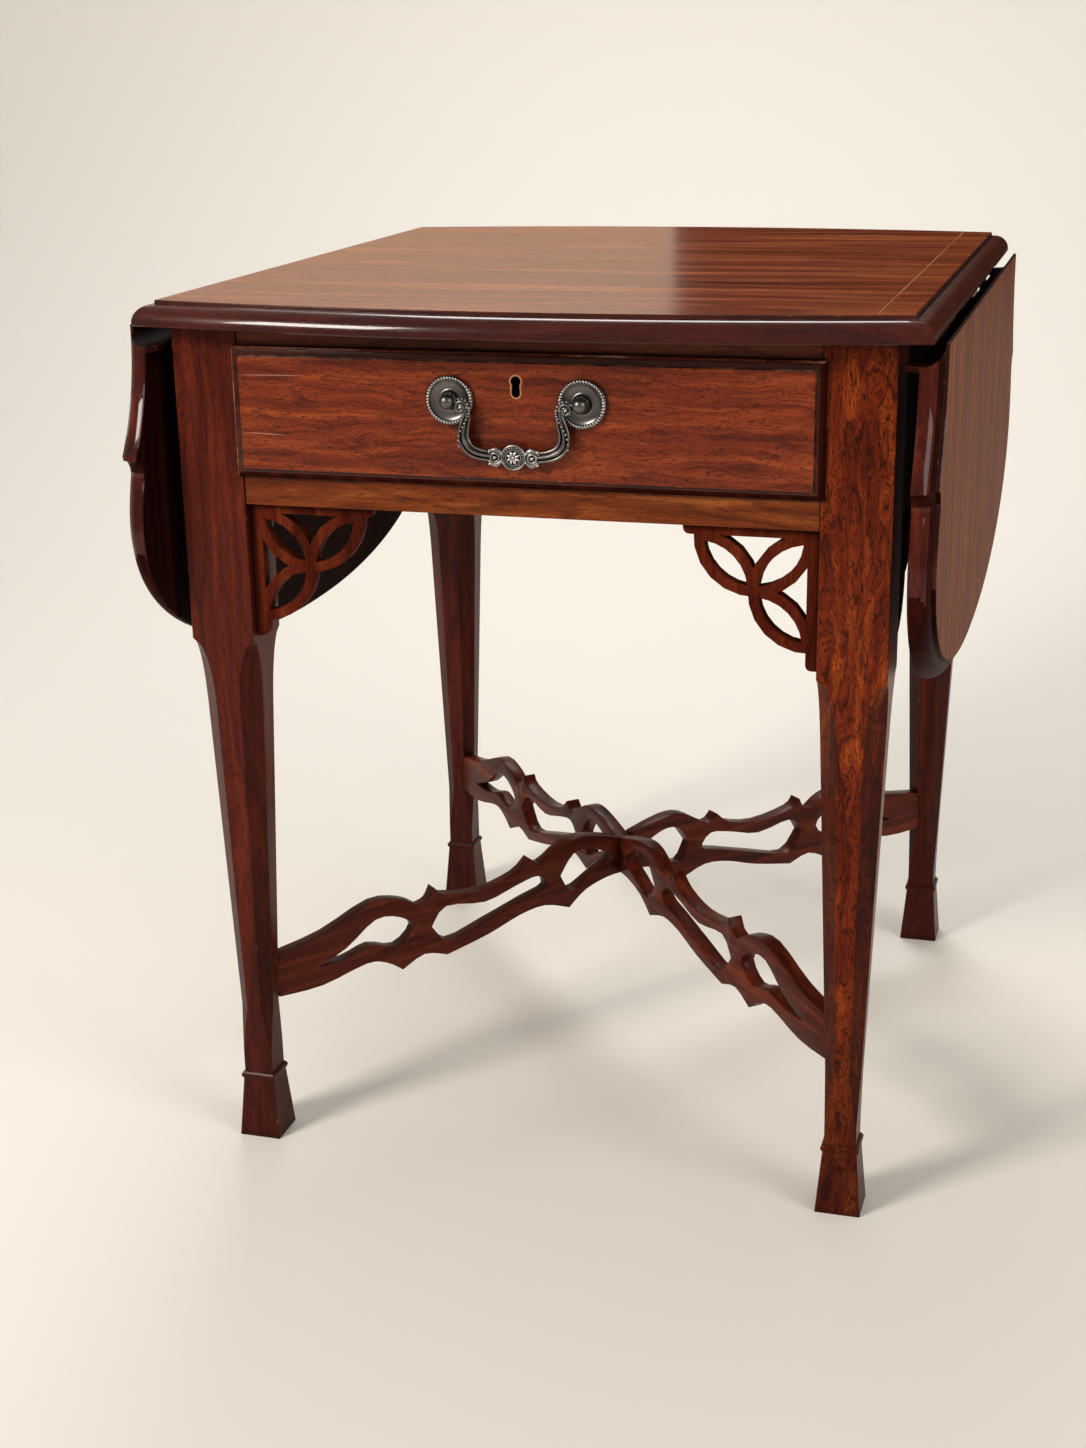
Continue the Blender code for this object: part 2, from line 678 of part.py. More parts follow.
def make_frets():
    near, far = FRET_START, FRET_START + FRET_PETAL
    end = far + FRET_PETAL
    spans = ((near, near, far, far), (far, far, end, near), (far, far, near, end))
    bodies = [rounded_bar(GAP, GAP, FRET_LEG, FRET_BAR, FRET_BAR * 0.6),
              rounded_bar(GAP, GAP, FRET_POST, FRET_DROP, FRET_POST * 0.45)]
    bodies += [petal(*span, FRET_BAND / 2) for span in spans]
    holes = [petal(*span, -FRET_BAND / 2) for span in spans]
    for sx, word_x in ((-1, "left"), (1, "right")):
        for sy, word_y in ((-1, "front"), (1, "back")):
            bm = bmesh.new()
            y = sy * (RAIL_FACE - FRET_SETBACK)

            def across(u, v, t, sx=sx, y=y, sy=sy):
                return (sx * (INNER_X - u), y - sy * t, RAIL_BOTTOM - v)

            plate(bm, bodies, holes, 0, FRET_THICK, across)
            solid("fret_" + word_y + "_" + word_x, bm, mahogany)
            bm = bmesh.new()
            x = sx * (BLOCK_X - RAIL_SETBACK - FRET_SIDE_SETBACK)

            def along(u, v, t, sx=sx, x=x, sy=sy):
                return (x - sx * t, sy * (INNER_Y - u), RAIL_BOTTOM - v)

            plate(bm, bodies, holes, 0, FRET_THICK, along)
            solid("fret_side_" + word_y + "_" + word_x, bm, mahogany)


# Stretcher outline: share of the arm from crossing to leg, then share of its depth from the lowest point
ARM_TOP = [
    [(1.0, 0.516), (0.877, 0.616), (0.745, 0.83), (0.66, 0.78), (0.615, 0.667)],
    [(0.615, 0.667), (0.588, 0.704), (0.572, 0.83)],
    [(0.572, 0.83), (0.545, 0.73), (0.43, 0.667), (0.335, 0.755), (0.293, 0.893)],
    [(0.293, 0.893), (0.261, 0.805), (0.188, 0.981), (0.12, 1), (0.0, 0.868)],
]
ARM_BOTTOM = [
    [(0.0, 0.478), (0.06, 0.465), (0.129, 0.377), (0.179, 0.214)],
    [(0.179, 0.214), (0.252, 0.314), (0.328, 0.277), (0.42, 0.151), (0.54, 0.038)],
    [(0.54, 0.038), (0.604, 0.113), (0.666, 0)],
    [(0.666, 0), (0.71, 0.126), (0.765, 0.176), (0.886, 0.063), (1.0, 0.063)],
]
ARM_OPENINGS = [
    [(0.9, 0.277), (0.82, 0.409), (0.74, 0.642), (0.672, 0.604), (0.63, 0.44), (0.678, 0.27),
     (0.75, 0.352), (0.82, 0.277), (0.9, 0.277)],
    [(0.583, 0.403), (0.542, 0.597), (0.43, 0.535), (0.34, 0.629), (0.272, 0.679), (0.243, 0.522),
     (0.31, 0.434), (0.42, 0.296), (0.53, 0.182), (0.583, 0.403)],
    [(0.205, 0.616), (0.165, 0.836), (0.11, 0.849), (0.047, 0.686), (0.105, 0.535), (0.172, 0.409),
     (0.205, 0.616)],
]


def raised(points):
    return [(share, STRETCHER_LOW + STRETCHER_DEPTH * height) for share, height in points]


def arm_reach(z):
    # distance from the crossing to the inner chamfer of a leg at height z
    size = leg_size(z)
    chamfer = (size - CHAMFER_SHARE * size) / sqrt(2)
    run = hypot(LEG_X, LEG_Y)
    skew = (LEG_X + LEG_Y) / (sqrt(2) * run)
    return run - chamfer / skew - GAP * 2


def tenon_heights():
    low = raised(ARM_BOTTOM[-1])[-1][1] + STRETCHER_SHOULDER
    high = raised(ARM_TOP[0])[0][1] - STRETCHER_SHOULDER
    return low, high


def arm_outline():
    low, high = tenon_heights()
    line = []
    for stretch in ARM_TOP[::-1]:
        line += smooth_line(raised(stretch[::-1]), 3)[:-1]
    line += raised(ARM_TOP[0][:1])
    top = [(share * arm_reach(z), z) for share, z in line]
    ends = [(arm_reach(high), high), (arm_reach(high) + STRETCHER_TENON, high),
            (arm_reach(high) + STRETCHER_TENON, low), (arm_reach(low), low)]
    line = []
    for stretch in ARM_BOTTOM[::-1]:
        line += smooth_line(raised(stretch[::-1]), 3)[:-1]
    bottom = [(share * arm_reach(z), z) for share, z in line]
    return top + ends + bottom + raised(ARM_BOTTOM[0][:1])


def make_stretchers():
    run = hypot(LEG_X, LEG_Y)
    arm = arm_outline()
    holes = []
    for opening in ARM_OPENINGS:
        holes.append([(share * arm_reach(z), z) for share, z in smooth_line(raised(opening), 3)[:-1]])
    low, high = raised(ARM_BOTTOM[0])[0][1], raised(ARM_TOP[-1])[-1][1]
    middle = (low + high) / 2
    half = STRETCHER_THICK / 2 + GAP
    # the two lines cross at an angle, so each notch is a little wider than the other piece
    angle = 2 * atan2(LEG_Y, LEG_X)
    width = half / abs(sin(angle)) + half * abs(cos(angle) / sin(angle))
    notches = {"one": (middle - GAP / 2, high + STRETCHER_THICK),
               "two": (low - STRETCHER_THICK, middle + GAP / 2)}
    for word, sy in (("one", 1), ("two", -1)):
        mirrored = [(-s, z) for s, z in arm]
        z0, z1 = notches[word]
        notch = [(-width, z0), (width, z0), (width, z1), (-width, z1)]
        cuts = holes + [[(-s, z) for s, z in h] for h in holes] + [notch]

        def place(s, z, t, sy=sy):
            return (s * LEG_X / run - sy * t * LEG_Y / run, sy * s * LEG_Y / run + t * LEG_X / run, z)

        bm = bmesh.new()
        plate(bm, [arm, mirrored], cuts, -STRETCHER_THICK / 2, STRETCHER_THICK / 2, place)
        solid("stretcher_" + word, bm, mahogany)


def add_stretcher_mortise(leg, sx, sy):
    run = hypot(LEG_X, LEG_Y)
    low, high = tenon_heights()
    half = STRETCHER_THICK / 2 + GAP
    near, far = arm_reach(low) - FIT * 4, arm_reach(high) + STRETCHER_TENON + GAP
    base = [(near, -half), (far, -half), (far, half), (near, half)]
    across, along = LEG_X / run, LEG_Y / run
    flat = [(sx * (s * across - t * along), sy * (s * along + t * across)) for s, t in base]
    rings = [[(x, y, z) for x, y in flat] for z in (low - GAP, high + GAP)]
    bm = bmesh.new()
    loft(bm, rings)
    bpy.context.view_layer.update()
    modify(leg, tool(bm, leg.name + "_stretcher_mortise"), "DIFFERENCE")


def lock_y():
    # distance of the lock's front from the middle of the table: it is let into the drawer front
    return RAIL_FACE - FRONT_DEPTH + LOCK_INSET


def keyhole(grow):
    # a round, a slot that widens downward and a rounded foot
    neck, foot = KEY_SLOT / 2 + grow, KEY_SLOT_FOOT / 2 + grow
    foot_z = KEY_Z - KEY_DROP + KEY_SLOT_FOOT / 2
    slot = [(-neck, KEY_Z), (-foot, foot_z), (foot, foot_z), (neck, KEY_Z)]
    return [circle(KEY_ROUND + grow, 16, 0, KEY_Z), slot, circle(foot, 12, 0, foot_z)]


def drawer_origin():
    return (0, -DRAWER_FACE, OPENING_BOTTOM)


def make_drawer():
    origin = drawer_origin()
    face, back = -DRAWER_FACE, -LIP_BACK
    bottom, top = OPENING_BOTTOM + DRAWER_CLEAR / 2, OPENING_TOP - DRAWER_CLEAR
    inner = INNER_X - DRAWER_CLEAR
    lip_x = INNER_X + LIP
    low, high = OPENING_BOTTOM - LIP, OPENING_TOP + LIP
    rings = []

    def ring(y, half, z0, z1):
        return [(-half, y, z0), (half, y, z0), (half, y, z1), (-half, y, z1)]

    count = 3
    for k in range(count + 1):
        turn = pi / 2 * k / count
        shrink = LIP_ROUND * (1 - sin(turn))
        y = face + LIP_ROUND * (1 - cos(turn)) * 0.6
        rings.append(ring(y, lip_x - shrink, low + shrink, high - shrink))
    rings.append(ring(back, lip_x, low, high))
    rings.append(ring(back, inner, bottom, top))
    rings.append(ring(-RAIL_FACE + FRONT_DEPTH, inner, bottom, top))
    bm = bmesh.new()
    loft(bm, rings)
    front = solid("drawer_front", bm, flame, origin)
    lining_bottom = bottom + BOTTOM_RISE
    groove_z = (lining_bottom - GAP, lining_bottom + BOTTOM_THICK + GAP)
    front_back = -RAIL_FACE + FRONT_DEPTH
    lock_half = LOCK_WIDTH / 2 + GAP
    groove = ((-inner + LINING - GROOVE, front_back - GROOVE - GAP, groove_z[0]),
              (inner - LINING + GROOVE, front_back + FIT, groove_z[1]))
    lock_seat = ((-lock_half, -lock_y() - GAP, top - LOCK_HEIGHT - GAP * 2),
                 (lock_half, front_back + FIT, top + FIT))
    cut_boxes(front, [groove, lock_seat])
    bm = bmesh.new()
    plate(bm, keyhole(0), [], face - FIT, front_back + FIT, lambda x, z, y: (x, y, z))
    bpy.context.view_layer.update()
    modify(front, tool(bm, "keyway_cutter"), "DIFFERENCE")
    bm = bmesh.new()
    plate(bm, keyhole(ESCUTCHEON_RIM + GAP), [], face - FIT, face + ESCUTCHEON_THICK + GAP,
          lambda x, z, y: (x, y, z))
    modify(front, tool(bm, "escutcheon_seat_cutter"), "DIFFERENCE")
    bm = bmesh.new()
    for side in (-1, 1):
        place = lambda x, z, y, side=side: (side * PULL_SPACING / 2 + x, y, PULL_Z + z)
        plate(bm, [circle(POST_RADIUS + GAP, 12)], [], face - FIT, front_back + FIT, place)
    modify(front, tool(bm, "post_hole_cutter"), "DIFFERENCE")
    bm = bmesh.new()
    plate(bm, keyhole(ESCUTCHEON_RIM), keyhole(0), face, face + ESCUTCHEON_THICK, lambda x, z, y: (x, y, z))
    solid("keyhole_escutcheon", bm, brass, origin)
    end = RAIL_FACE - RAIL_THICK - DRAWER_ROOM
    for word, side in (("left", -1), ("right", 1)):
        made = box("drawer_side_" + word, (side * (inner - LINING), front_back + GAP, bottom),
                   (side * inner, end, top), oak, origin)
        cut_boxes(made, [((side * (inner - LINING - FIT), front_back - FIT, groove_z[0]),
                          (side * (inner - LINING + GROOVE + GAP), end + FIT, groove_z[1]))])
    back_bottom = groove_z[1] + GAP
    box("drawer_back", (-inner + LINING + GAP, end - LINING, back_bottom),
        (inner - LINING - GAP, end, top - BACK_DROP), oak, origin)
    box("drawer_bottom", (-inner + LINING - GROOVE, front_back - GROOVE, lining_bottom),
        (inner - LINING + GROOVE, end, lining_bottom + BOTTOM_THICK), oak, origin)
    make_lock(origin, top)


def make_lock(origin, top):
    y = -lock_y()
    z1 = top - GAP
    z0 = z1 - LOCK_HEIGHT
    half = LOCK_WIDTH / 2
    case = box("lock_case", (-half, y, z0), (half, y + LOCK_THICK, z1), brass, origin)
    mid = y + LOCK_THICK / 2
    slot = (BOLT_WIDTH / 2 + GAP, BOLT_THICK / 2 + GAP)
    rest = z1 - FIT
    cut_boxes(case, [((-slot[0], mid - slot[1], rest - BOLT_BODY - GAP), (slot[0], mid + slot[1], z1 + FIT))])
    box("lock_bolt", (-BOLT_WIDTH / 2, mid - BOLT_THICK / 2, rest - BOLT_BODY),
        (BOLT_WIDTH / 2, mid + BOLT_THICK / 2, rest), iron, (0, mid, rest))


def pull_axis():
    return (0, -DRAWER_FACE - BAIL_STAND, PULL_Z)


def make_pull():
    face = -DRAWER_FACE
    axis_y = pull_axis()[1]
    origin = drawer_origin()
    back = -RAIL_FACE + FRONT_DEPTH
    for word, side in (("left", -1), ("right", 1)):
        x = side * PULL_SPACING / 2

        def place(u, w, out, x=x):
            return (x + u, face - out, PULL_Z + w)

        hole = POST_RADIUS + GAP
        rim = ROSETTE_RADIUS
        bead = ROSETTE_BEAD
        dish = [(hole, GAP), (rim, GAP), (rim, ROSETTE_DISH * 0.5), (rim - bead * 0.25, ROSETTE_DISH * 0.95),
                (rim - bead * 0.65, ROSETTE_DISH), (rim - bead, ROSETTE_DISH * 0.6),
                (rim * 0.6, ROSETTE_DISH * 0.42), (hole + bead * 0.8, ROSETTE_DISH * 0.42),
                (hole + bead * 0.5, ROSETTE_DISH * 0.6), (hole, ROSETTE_DISH * 0.6)]
        count = 24
        bm = bmesh.new()
        rows = [[bm.verts.new(place(px, py, h)) for px, py in circle(r, count)] for r, h in dish]
        for a, b in zip(rows, rows[1:] + rows[:1]):
            for i in range(count):
                bm.faces.new((a[i], a[(i + 1) % count], b[(i + 1) % count], b[i]))
        solid("rosette_" + word, bm, pewter, origin, 0.7)
        # post with a ball knob that takes the bail's pins, and its nut behind the drawer front
        profile = [(NUT_RADIUS, face - back - GAP - NUT_THICK), (NUT_RADIUS, face - back - GAP),
                   (POST_RADIUS, face - back - GAP)]
        rows = 8
        start = -acos(POST_RADIUS / KNOB_RADIUS)
        swing = [start + k * (pi / 2 - start) / rows for k in range(rows)]
        profile += [(KNOB_RADIUS * cos(a), BAIL_STAND + KNOB_RADIUS * sin(a)) for a in swing]
        profile.append((KNOB_RADIUS * 0.15, BAIL_STAND + KNOB_RADIUS))
        bm = bmesh.new()
        turned(bm, profile, place, 12)
        post = solid("pull_post_" + word, bm, pewter, origin, 0.7)
        bm = bmesh.new()
        plate(bm, [circle(BAIL_PIN + GAP, 10)], [], x - KNOB_RADIUS - FIT, x + KNOB_RADIUS + FIT,
              lambda u, w, s: (s, axis_y + u, PULL_Z + w))
        bpy.context.view_layer.update()
        modify(post, tool(bm, post.name + "_eye"), "DIFFERENCE")
    make_bail()


def make_bail():
    # one arm from its pivot pin down to the middle, as offsets from the pull's centre line
    post = PULL_SPACING / 2
    pin_in = post - KNOB_RADIUS - GAP * 5
    shoulder, waist, elbow = post - BAIL_SCROLL, post - BAIL_WAIST, post - BAIL_ELBOW
    arm = [(pin_in, 0.0), (shoulder, -BAIL_DROP * 0.06), (waist, -BAIL_DROP * 0.29),
           (elbow, -BAIL_DROP * 0.54),
           (waist - BAIL_RADIUS / 2, -BAIL_DROP * 0.78), (waist * 0.78, -BAIL_DROP * 0.92),
           (waist * 0.5, -BAIL_DROP * 0.965), (MEDALLION_RADIUS, -BAIL_DROP), (0.0, -BAIL_DROP)]
    line = smooth_line(arm, 2)
    line = line + [(-x, z) for x, z in reversed(line[:-1])]
    line = [(post - FIT, 0.0), (pin_in + GAP, 0.0)] + line + [(-pin_in - GAP, 0.0), (FIT - post, 0.0)]
    sides = 8
    last = len(line) - 1
    rings = []
    _, y, z0 = pull_axis()
    for i, (x, z) in enumerate(line):
        ahead, behind = line[min(i + 1, last)], line[max(i - 1, 0)]
        tangent = Vector((ahead[0] - behind[0], ahead[1] - behind[1])).normalized()
        if i in (0, 1, last - 1, last):
            tangent = Vector((-1, 0))
        radius = BAIL_PIN if i in (0, 1, last - 1, last) else BAIL_RADIUS
        rings.append([(x - tangent.y * radius * cos(2 * pi * k / sides), y + radius * sin(2 * pi * k / sides),
                       z0 + z + tangent.x * radius * cos(2 * pi * k / sides)) for k in range(sides)])
    bm = bmesh.new()
    loft(bm, rings)
    bail = solid("bail_handle", bm, pewter, pull_axis(), 0.7)
    bm = bmesh.new()
    half = MEDALLION_THICK / 2
    rim = MEDALLION_RADIUS
    profile = [(rim * 0.8, -half), (rim, -half * 0.4), (rim, half * 0.5), (rim * 0.85, half * 0.9),
               (rim * 0.4, half * 1.25)]
    turned(bm, profile, lambda u, w, out: (u, y - out, z0 - BAIL_DROP + w), 20)
    bpy.context.view_layer.update()
    modify(bail, tool(bm, "medallion"), "UNION")


make_rails()
make_legs()
make_top()
for side_word, side_sign in (("left", -1), ("right", 1)):
    make_leaf(side_word, side_sign)
    make_fly(side_word, side_sign)
for hinge_word, hinge_side, hinge_y in hinge_places():
    make_hinge(hinge_word, hinge_side, hinge_y)
make_drawer_supports()
make_frets()
make_stretchers()
make_drawer()
make_pull()
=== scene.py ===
import bpy
import bmesh
from functools import partial
from math import pi, sin, cos, atan2, radians, degrees, sqrt
from mathutils import Matrix, Vector


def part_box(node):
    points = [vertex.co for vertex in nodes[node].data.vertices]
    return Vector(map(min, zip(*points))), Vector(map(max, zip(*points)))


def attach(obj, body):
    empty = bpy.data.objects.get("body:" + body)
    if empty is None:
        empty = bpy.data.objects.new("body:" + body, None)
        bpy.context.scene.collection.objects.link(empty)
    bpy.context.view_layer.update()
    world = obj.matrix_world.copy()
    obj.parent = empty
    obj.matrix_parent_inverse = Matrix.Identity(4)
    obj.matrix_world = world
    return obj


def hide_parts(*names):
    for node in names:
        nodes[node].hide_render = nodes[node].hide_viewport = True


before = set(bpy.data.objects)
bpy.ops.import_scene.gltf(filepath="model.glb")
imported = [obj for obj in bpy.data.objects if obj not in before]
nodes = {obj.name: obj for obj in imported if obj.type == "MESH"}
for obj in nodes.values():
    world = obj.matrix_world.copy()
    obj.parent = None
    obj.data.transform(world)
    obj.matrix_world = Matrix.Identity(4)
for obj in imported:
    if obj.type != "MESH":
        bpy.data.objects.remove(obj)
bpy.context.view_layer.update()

scene = bpy.context.scene
mm = 0.001
fitGap = 0.3  # mm between neighbouring solids

# camera at the photograph's angle: place in metres, angles in degrees, lens in mm on a 36 mm wide frame
cameraView = {"place": (0.4288, -1.6856, 0.8609), "turn": -16.544, "tilt": -18.287, "roll": -1.003,
              "lens": 69.73, "frameWidth": 36.0}


def placeCamera(view):
    turn, tilt, roll = radians(view["turn"]), radians(view["tilt"]), radians(view["roll"])
    ahead = Vector((sin(turn) * cos(tilt), cos(turn) * cos(tilt), sin(tilt)))
    level = ahead.cross(Vector((0, 0, 1))).normalized()
    upright = level.cross(ahead)
    across = cos(roll) * level + sin(roll) * upright
    up = cos(roll) * upright - sin(roll) * level
    lens = bpy.data.cameras.new("photoCamera")
    lens.sensor_fit = "HORIZONTAL"
    lens.sensor_width = view["frameWidth"]
    lens.lens = view["lens"]
    camera = bpy.data.objects.new("photoCamera", lens)
    aim = Matrix((across, up, -ahead)).transposed().to_4x4()
    camera.matrix_world = Matrix.Translation(view["place"]) @ aim
    scene.collection.objects.link(camera)
    scene.camera = camera


placeCamera(cameraView)
print("camera placed")


def hexColour(code):
    parts = [int(code[i:i + 2], 16) / 255 for i in (1, 3, 5)]
    return tuple(p / 12.92 if p <= 0.04045 else ((p + 0.055) / 1.055) ** 2.4 for p in parts) + (1.0,)


def addNode(tree, kind, settings=None, links=None, out=0):
    # a kind may end with its operation; settings name an input, its number or a property of the node,
    # From and To take a pair; links name the input they feed
    kind, *operation = kind.split()
    node = tree.nodes.new("ShaderNode" + kind)
    if operation:
        node.operation = operation[0]
    for key, value in (settings or {}).items():
        if key == "stops":
            for i, (at, code) in enumerate(value):
                stop = node.color_ramp.elements[i] if i < 2 else node.color_ramp.elements.new(at)
                stop.position = at
                stop.color = hexColour(code)
        elif key in ("From", "To"):
            for end, bound in zip((" Min", " Max"), value):
                node.inputs[key + end].default_value = bound
        elif isinstance(key, int) or key in node.inputs:
            node.inputs[key].default_value = value
        else:
            setattr(node, key, value)
    for key, source in (links or {}).items():
        tree.links.new(source, node.inputs[key])
    return node.outputs[out]


def perMm(axis, along, across):
    # one pattern step measures along mm with the grain and across mm over it
    steps = [1000 / across] * 3
    steps[axis] = 1000 / along
    return tuple(steps)


def newMaterial(name):
    made = bpy.data.materials.new(name)
    made.use_nodes = True
    tree = made.node_tree
    return made, partial(addNode, tree), tree.nodes["Principled BSDF"]


def feed(shader, sources):
    for socket, source in sources.items():
        shader.id_data.links.new(source, shader.inputs[socket])


# French-polished mahogany: planed, stained, shellac rubbed to a deep gloss. The eye sees red-brown
# ribbons, short dark pores, painted shade in the corners where old wax would also sit, and edges rubbed back
# to paler wood.
woodBase = {
    "axis": 2,            # 0 left-right, 1 front-back, 2 upright
    "turn": 0.0,          # degrees that the board lies askew
    "ribbon": (330, 15),  # mm along and across one ribbon of colour
    "wander": 10,         # mm that the grain strays sideways
    "sway": (150, 42),    # mm of that straying
    "lines": (240, 26),   # mm of the field whose contours are the growth lines
    "lineCount": 5.0,
    "lineDepth": 0.35,
    "pores": (8, 0.9),    # real pores are 0.2 mm wide, drawn coarser so that they show
    "poreDepth": 0.55,
    "poreEdge": (0.54, 0.68),
    "flecks": 0.0,
    "fleckSize": (7, 3.0),
    "chamfer": 0.0,       # painted shade: how much darker the slanting corners are
    "floorShade": 0.0,         # painted shade: how much darker the wood is towards the floor
    "scratches": (),      # (x, z) of both ends on the front, m
    "tones": ("#2c0d08", "#55200f", "#7c3818"),
    "veinAndShade": "#1f0805",
    "wornAndHighlight": "#8f5230",
    "wearAndHighlight": 0.45,
    "gloss": 0.30,
    "specular": 0.12,
    "coat": 0.12,
    "coatRough": 0.07,
}
# noise drawn out along the grain
grainNoise = {
    "ribbon": {"Detail": 6.0, "Roughness": 0.62, "Distortion": 0.3},
    "lines": {"Detail": 1.6, "Roughness": 0.45},
    "pores": {"Detail": 2.0},
    "fleckSize": {"Detail": 1.0},
}
# what age and use do to every board, and the painted shade laid on it; a pair says where a mark begins and
# where it is full
boardAge = {
    "apart": (9.0, 7.0, 5.0),  # m between the places that two pieces may be cut from
    "toneStops": (0.30, 0.50, 0.68),
    "line": (0.34, 0.0),
    "fleck": (0.66, 0.72),
    "slantShade": (0.15, 0.3),
    "floorShade": (300, 20),        # mm above the floor
    "scratch": (0.5, 0.1), "scratchDepth": 0.6, "scratchTone": "#b98f7c",  # mm off its middle line
    "cornerShade": (0.35, 0.85), "cornerShadeDepth": 0.75, "cornerShadeReach": 12, "cornerShadeTone": "#0d0503",
    "edge": (0.995, 0.86), "edgeWidth": 1.2,
    "rub": (0.46, 0.66), "rubSize": 16,
    "nick": (0.11, 0.07), "nickDepth": 0.7, "nickSize": 21, "nickTone": "#b98a68",
    "glossSpread": (-0.05, 0.12),
    "poreBump": 0.12, "poreDeep": 0.3,
}


def polishedWood(name, changes):
    wood, age = {**woodBase, **changes}, boardAge
    made, add, shader = newMaterial(name)
    axis, veinAndShade = wood["axis"], wood["veinAndShade"]
    eased = {"interpolation_type": "SMOOTHSTEP"}
    place = add("TexCoord", out="Object")
    across, _, height = add("SeparateXYZ", {}, {0: place}).node.outputs
    if wood["turn"]:
        turned = {"rotation_type": "Z_AXIS", "Angle": -radians(wood["turn"])}
        place = add("VectorRotate", turned, {0: place})
    # each piece is cut from another part of the board
    chance = add("ObjectInfo", out="Random")
    board = add("VectorMath MULTIPLY_ADD", {1: age["apart"]}, {0: chance, 2: place})
    slow = add("VectorMath MULTIPLY", {1: perMm(axis, *wood["sway"])}, {0: board})
    bend = add("TexNoise", {"Scale": 1.0, "Detail": 2.5}, {"Vector": slow}, "Color")
    stray = (2 * wood["wander"] * mm,) * 3
    drift = add("VectorMath MULTIPLY_ADD", {1: stray}, {0: bend, 2: board})
    grain = {}
    for kind, settings in grainNoise.items():
        if kind == "fleckSize" and not wood["flecks"]:
            continue
        drawn = add("VectorMath MULTIPLY", {1: perMm(axis, *wood[kind])}, {0: drift})
        grain[kind] = add("TexNoise", {"Scale": 1.0, **settings}, {"Vector": drawn})

    # ribbons of colour, then what lies over them in turn: how much of it, and its tone
    (first, middle, last), (deep, main, bright) = age["toneStops"], wood["tones"]
    stops = ((first, deep), (last, bright), (middle, main))
    colour = add("ValToRGB", {"stops": stops}, {"Fac": grain["ribbon"]})
    layers = []

    # growth lines are the contours of one slow field
    rings = add("Math MULTIPLY", {1: wood["lineCount"] * 2}, {0: grain["lines"]})
    rings = add("Math PINGPONG", {1: 1.0}, {0: rings})
    lines = {**eased, "From": age["line"], "To": (0, wood["lineDepth"])}
    layers.append((add("MapRange", lines, {"Value": rings}), veinAndShade))

    # pores, and the larger flecks of figured boards
    pores = add("MapRange", {**eased, "From": wood["poreEdge"]}, {"Value": grain["pores"]})
    dark = add("Math MULTIPLY", {1: wood["poreDepth"]}, {0: pores})
    layers.append((dark, veinAndShade))
    if wood["flecks"]:
        flecks = {"From": age["fleck"], "To": (0, wood["flecks"])}
        layers.append((add("MapRange", flecks, {"Value": grain["fleckSize"]}), veinAndShade))
    # painted shade on the faces that slant across the corners, the chamfers, in the vein tone
    if wood["chamfer"]:
        facing = add("NewGeometry", out="True Normal")
        x, y, _ = add("SeparateXYZ", {}, {0: facing}).node.outputs
        slantShade = add("Math MULTIPLY", {}, {0: x, 1: y})
        slantShade = add("Math ABSOLUTE", {}, {0: slantShade})
        slantShade = add("MapRange", {"From": age["slantShade"], "To": (0, wood["chamfer"])}, {"Value": slantShade})
        layers.append((slantShade, veinAndShade))
    # painted shade, darker towards the floor
    if wood["floorShade"]:
        floorShade = {**eased, "From": [h * mm for h in age["floorShade"]], "To": (0, wood["floorShade"])}
        layers.append((add("MapRange", floorShade, {"Value": height}), veinAndShade))
    for (x0, z0), (x1, z1) in wood["scratches"]:
        line = add("MapRange", {"From": (x0, x1), "To": (z0, z1)}, {"Value": across})
        off = add("Math SUBTRACT", {}, {0: height, 1: line})
        off = add("Math ABSOLUTE", {}, {0: off})
        thin = {"From": [w * mm for w in age["scratch"]], "To": (0, age["scratchDepth"])}
        thin = add("MapRange", thin, {"Value": off})
        # it fades out towards both ends
        along = add("Math SUBTRACT", {1: (x0 + x1) / 2}, {0: across})
        along = add("Math ABSOLUTE", {}, {0: along})
        half = abs(x1 - x0) / 2
        ends = add("MapRange", {"From": (half, half / 2)}, {"Value": along})
        scratch = add("Math MULTIPLY", {}, {0: thin, 1: ends})
        layers.append((scratch, age["scratchTone"]))

    # painted shade in the corners, darkest where occlusion is deepest; old wax would also sit there
    hollow = add("AmbientOcclusion", {"samples": 6, "Distance": age["cornerShadeReach"] * mm}, out="AO")
    hollow = add("MapRange", {"From": age["cornerShade"], "To": (age["cornerShadeDepth"], 0)}, {"Value": hollow})
    layers.append((hollow, age["cornerShadeTone"]))

    # edges are rubbed back in patches, with a few small chips; on the drawer lip the pale edges are a painted
    # highlight
    soft = add("Bevel", {"samples": 6, "Radius": age["edgeWidth"] * mm})
    flat = add("NewGeometry", out="Normal")
    away = add("VectorMath DOT_PRODUCT", {}, {0: soft, 1: flat}, "Value")
    edge = add("MapRange", {"From": age["edge"]}, {"Value": away})
    patches = {"Scale": 1000 / age["rubSize"], "Detail": 4.0, "Roughness": 0.7}
    patches = add("TexNoise", patches, {"Vector": board})
    patches = add("MapRange", {"From": age["rub"], "To": (0, wood["wearAndHighlight"])}, {"Value": patches})
    chips = {"Scale": 1000 / age["nickSize"], "Randomness": 1.0}
    chips = add("TexVoronoi", chips, {"Vector": board}, "Distance")
    chips = add("MapRange", {"From": age["nick"], "To": (0, age["nickDepth"])}, {"Value": chips})
    for marks, tone in ((patches, wood["wornAndHighlight"]), (chips, age["nickTone"])):
        layers.append((add("Math MULTIPLY", {}, {0: edge, 1: marks}), tone))

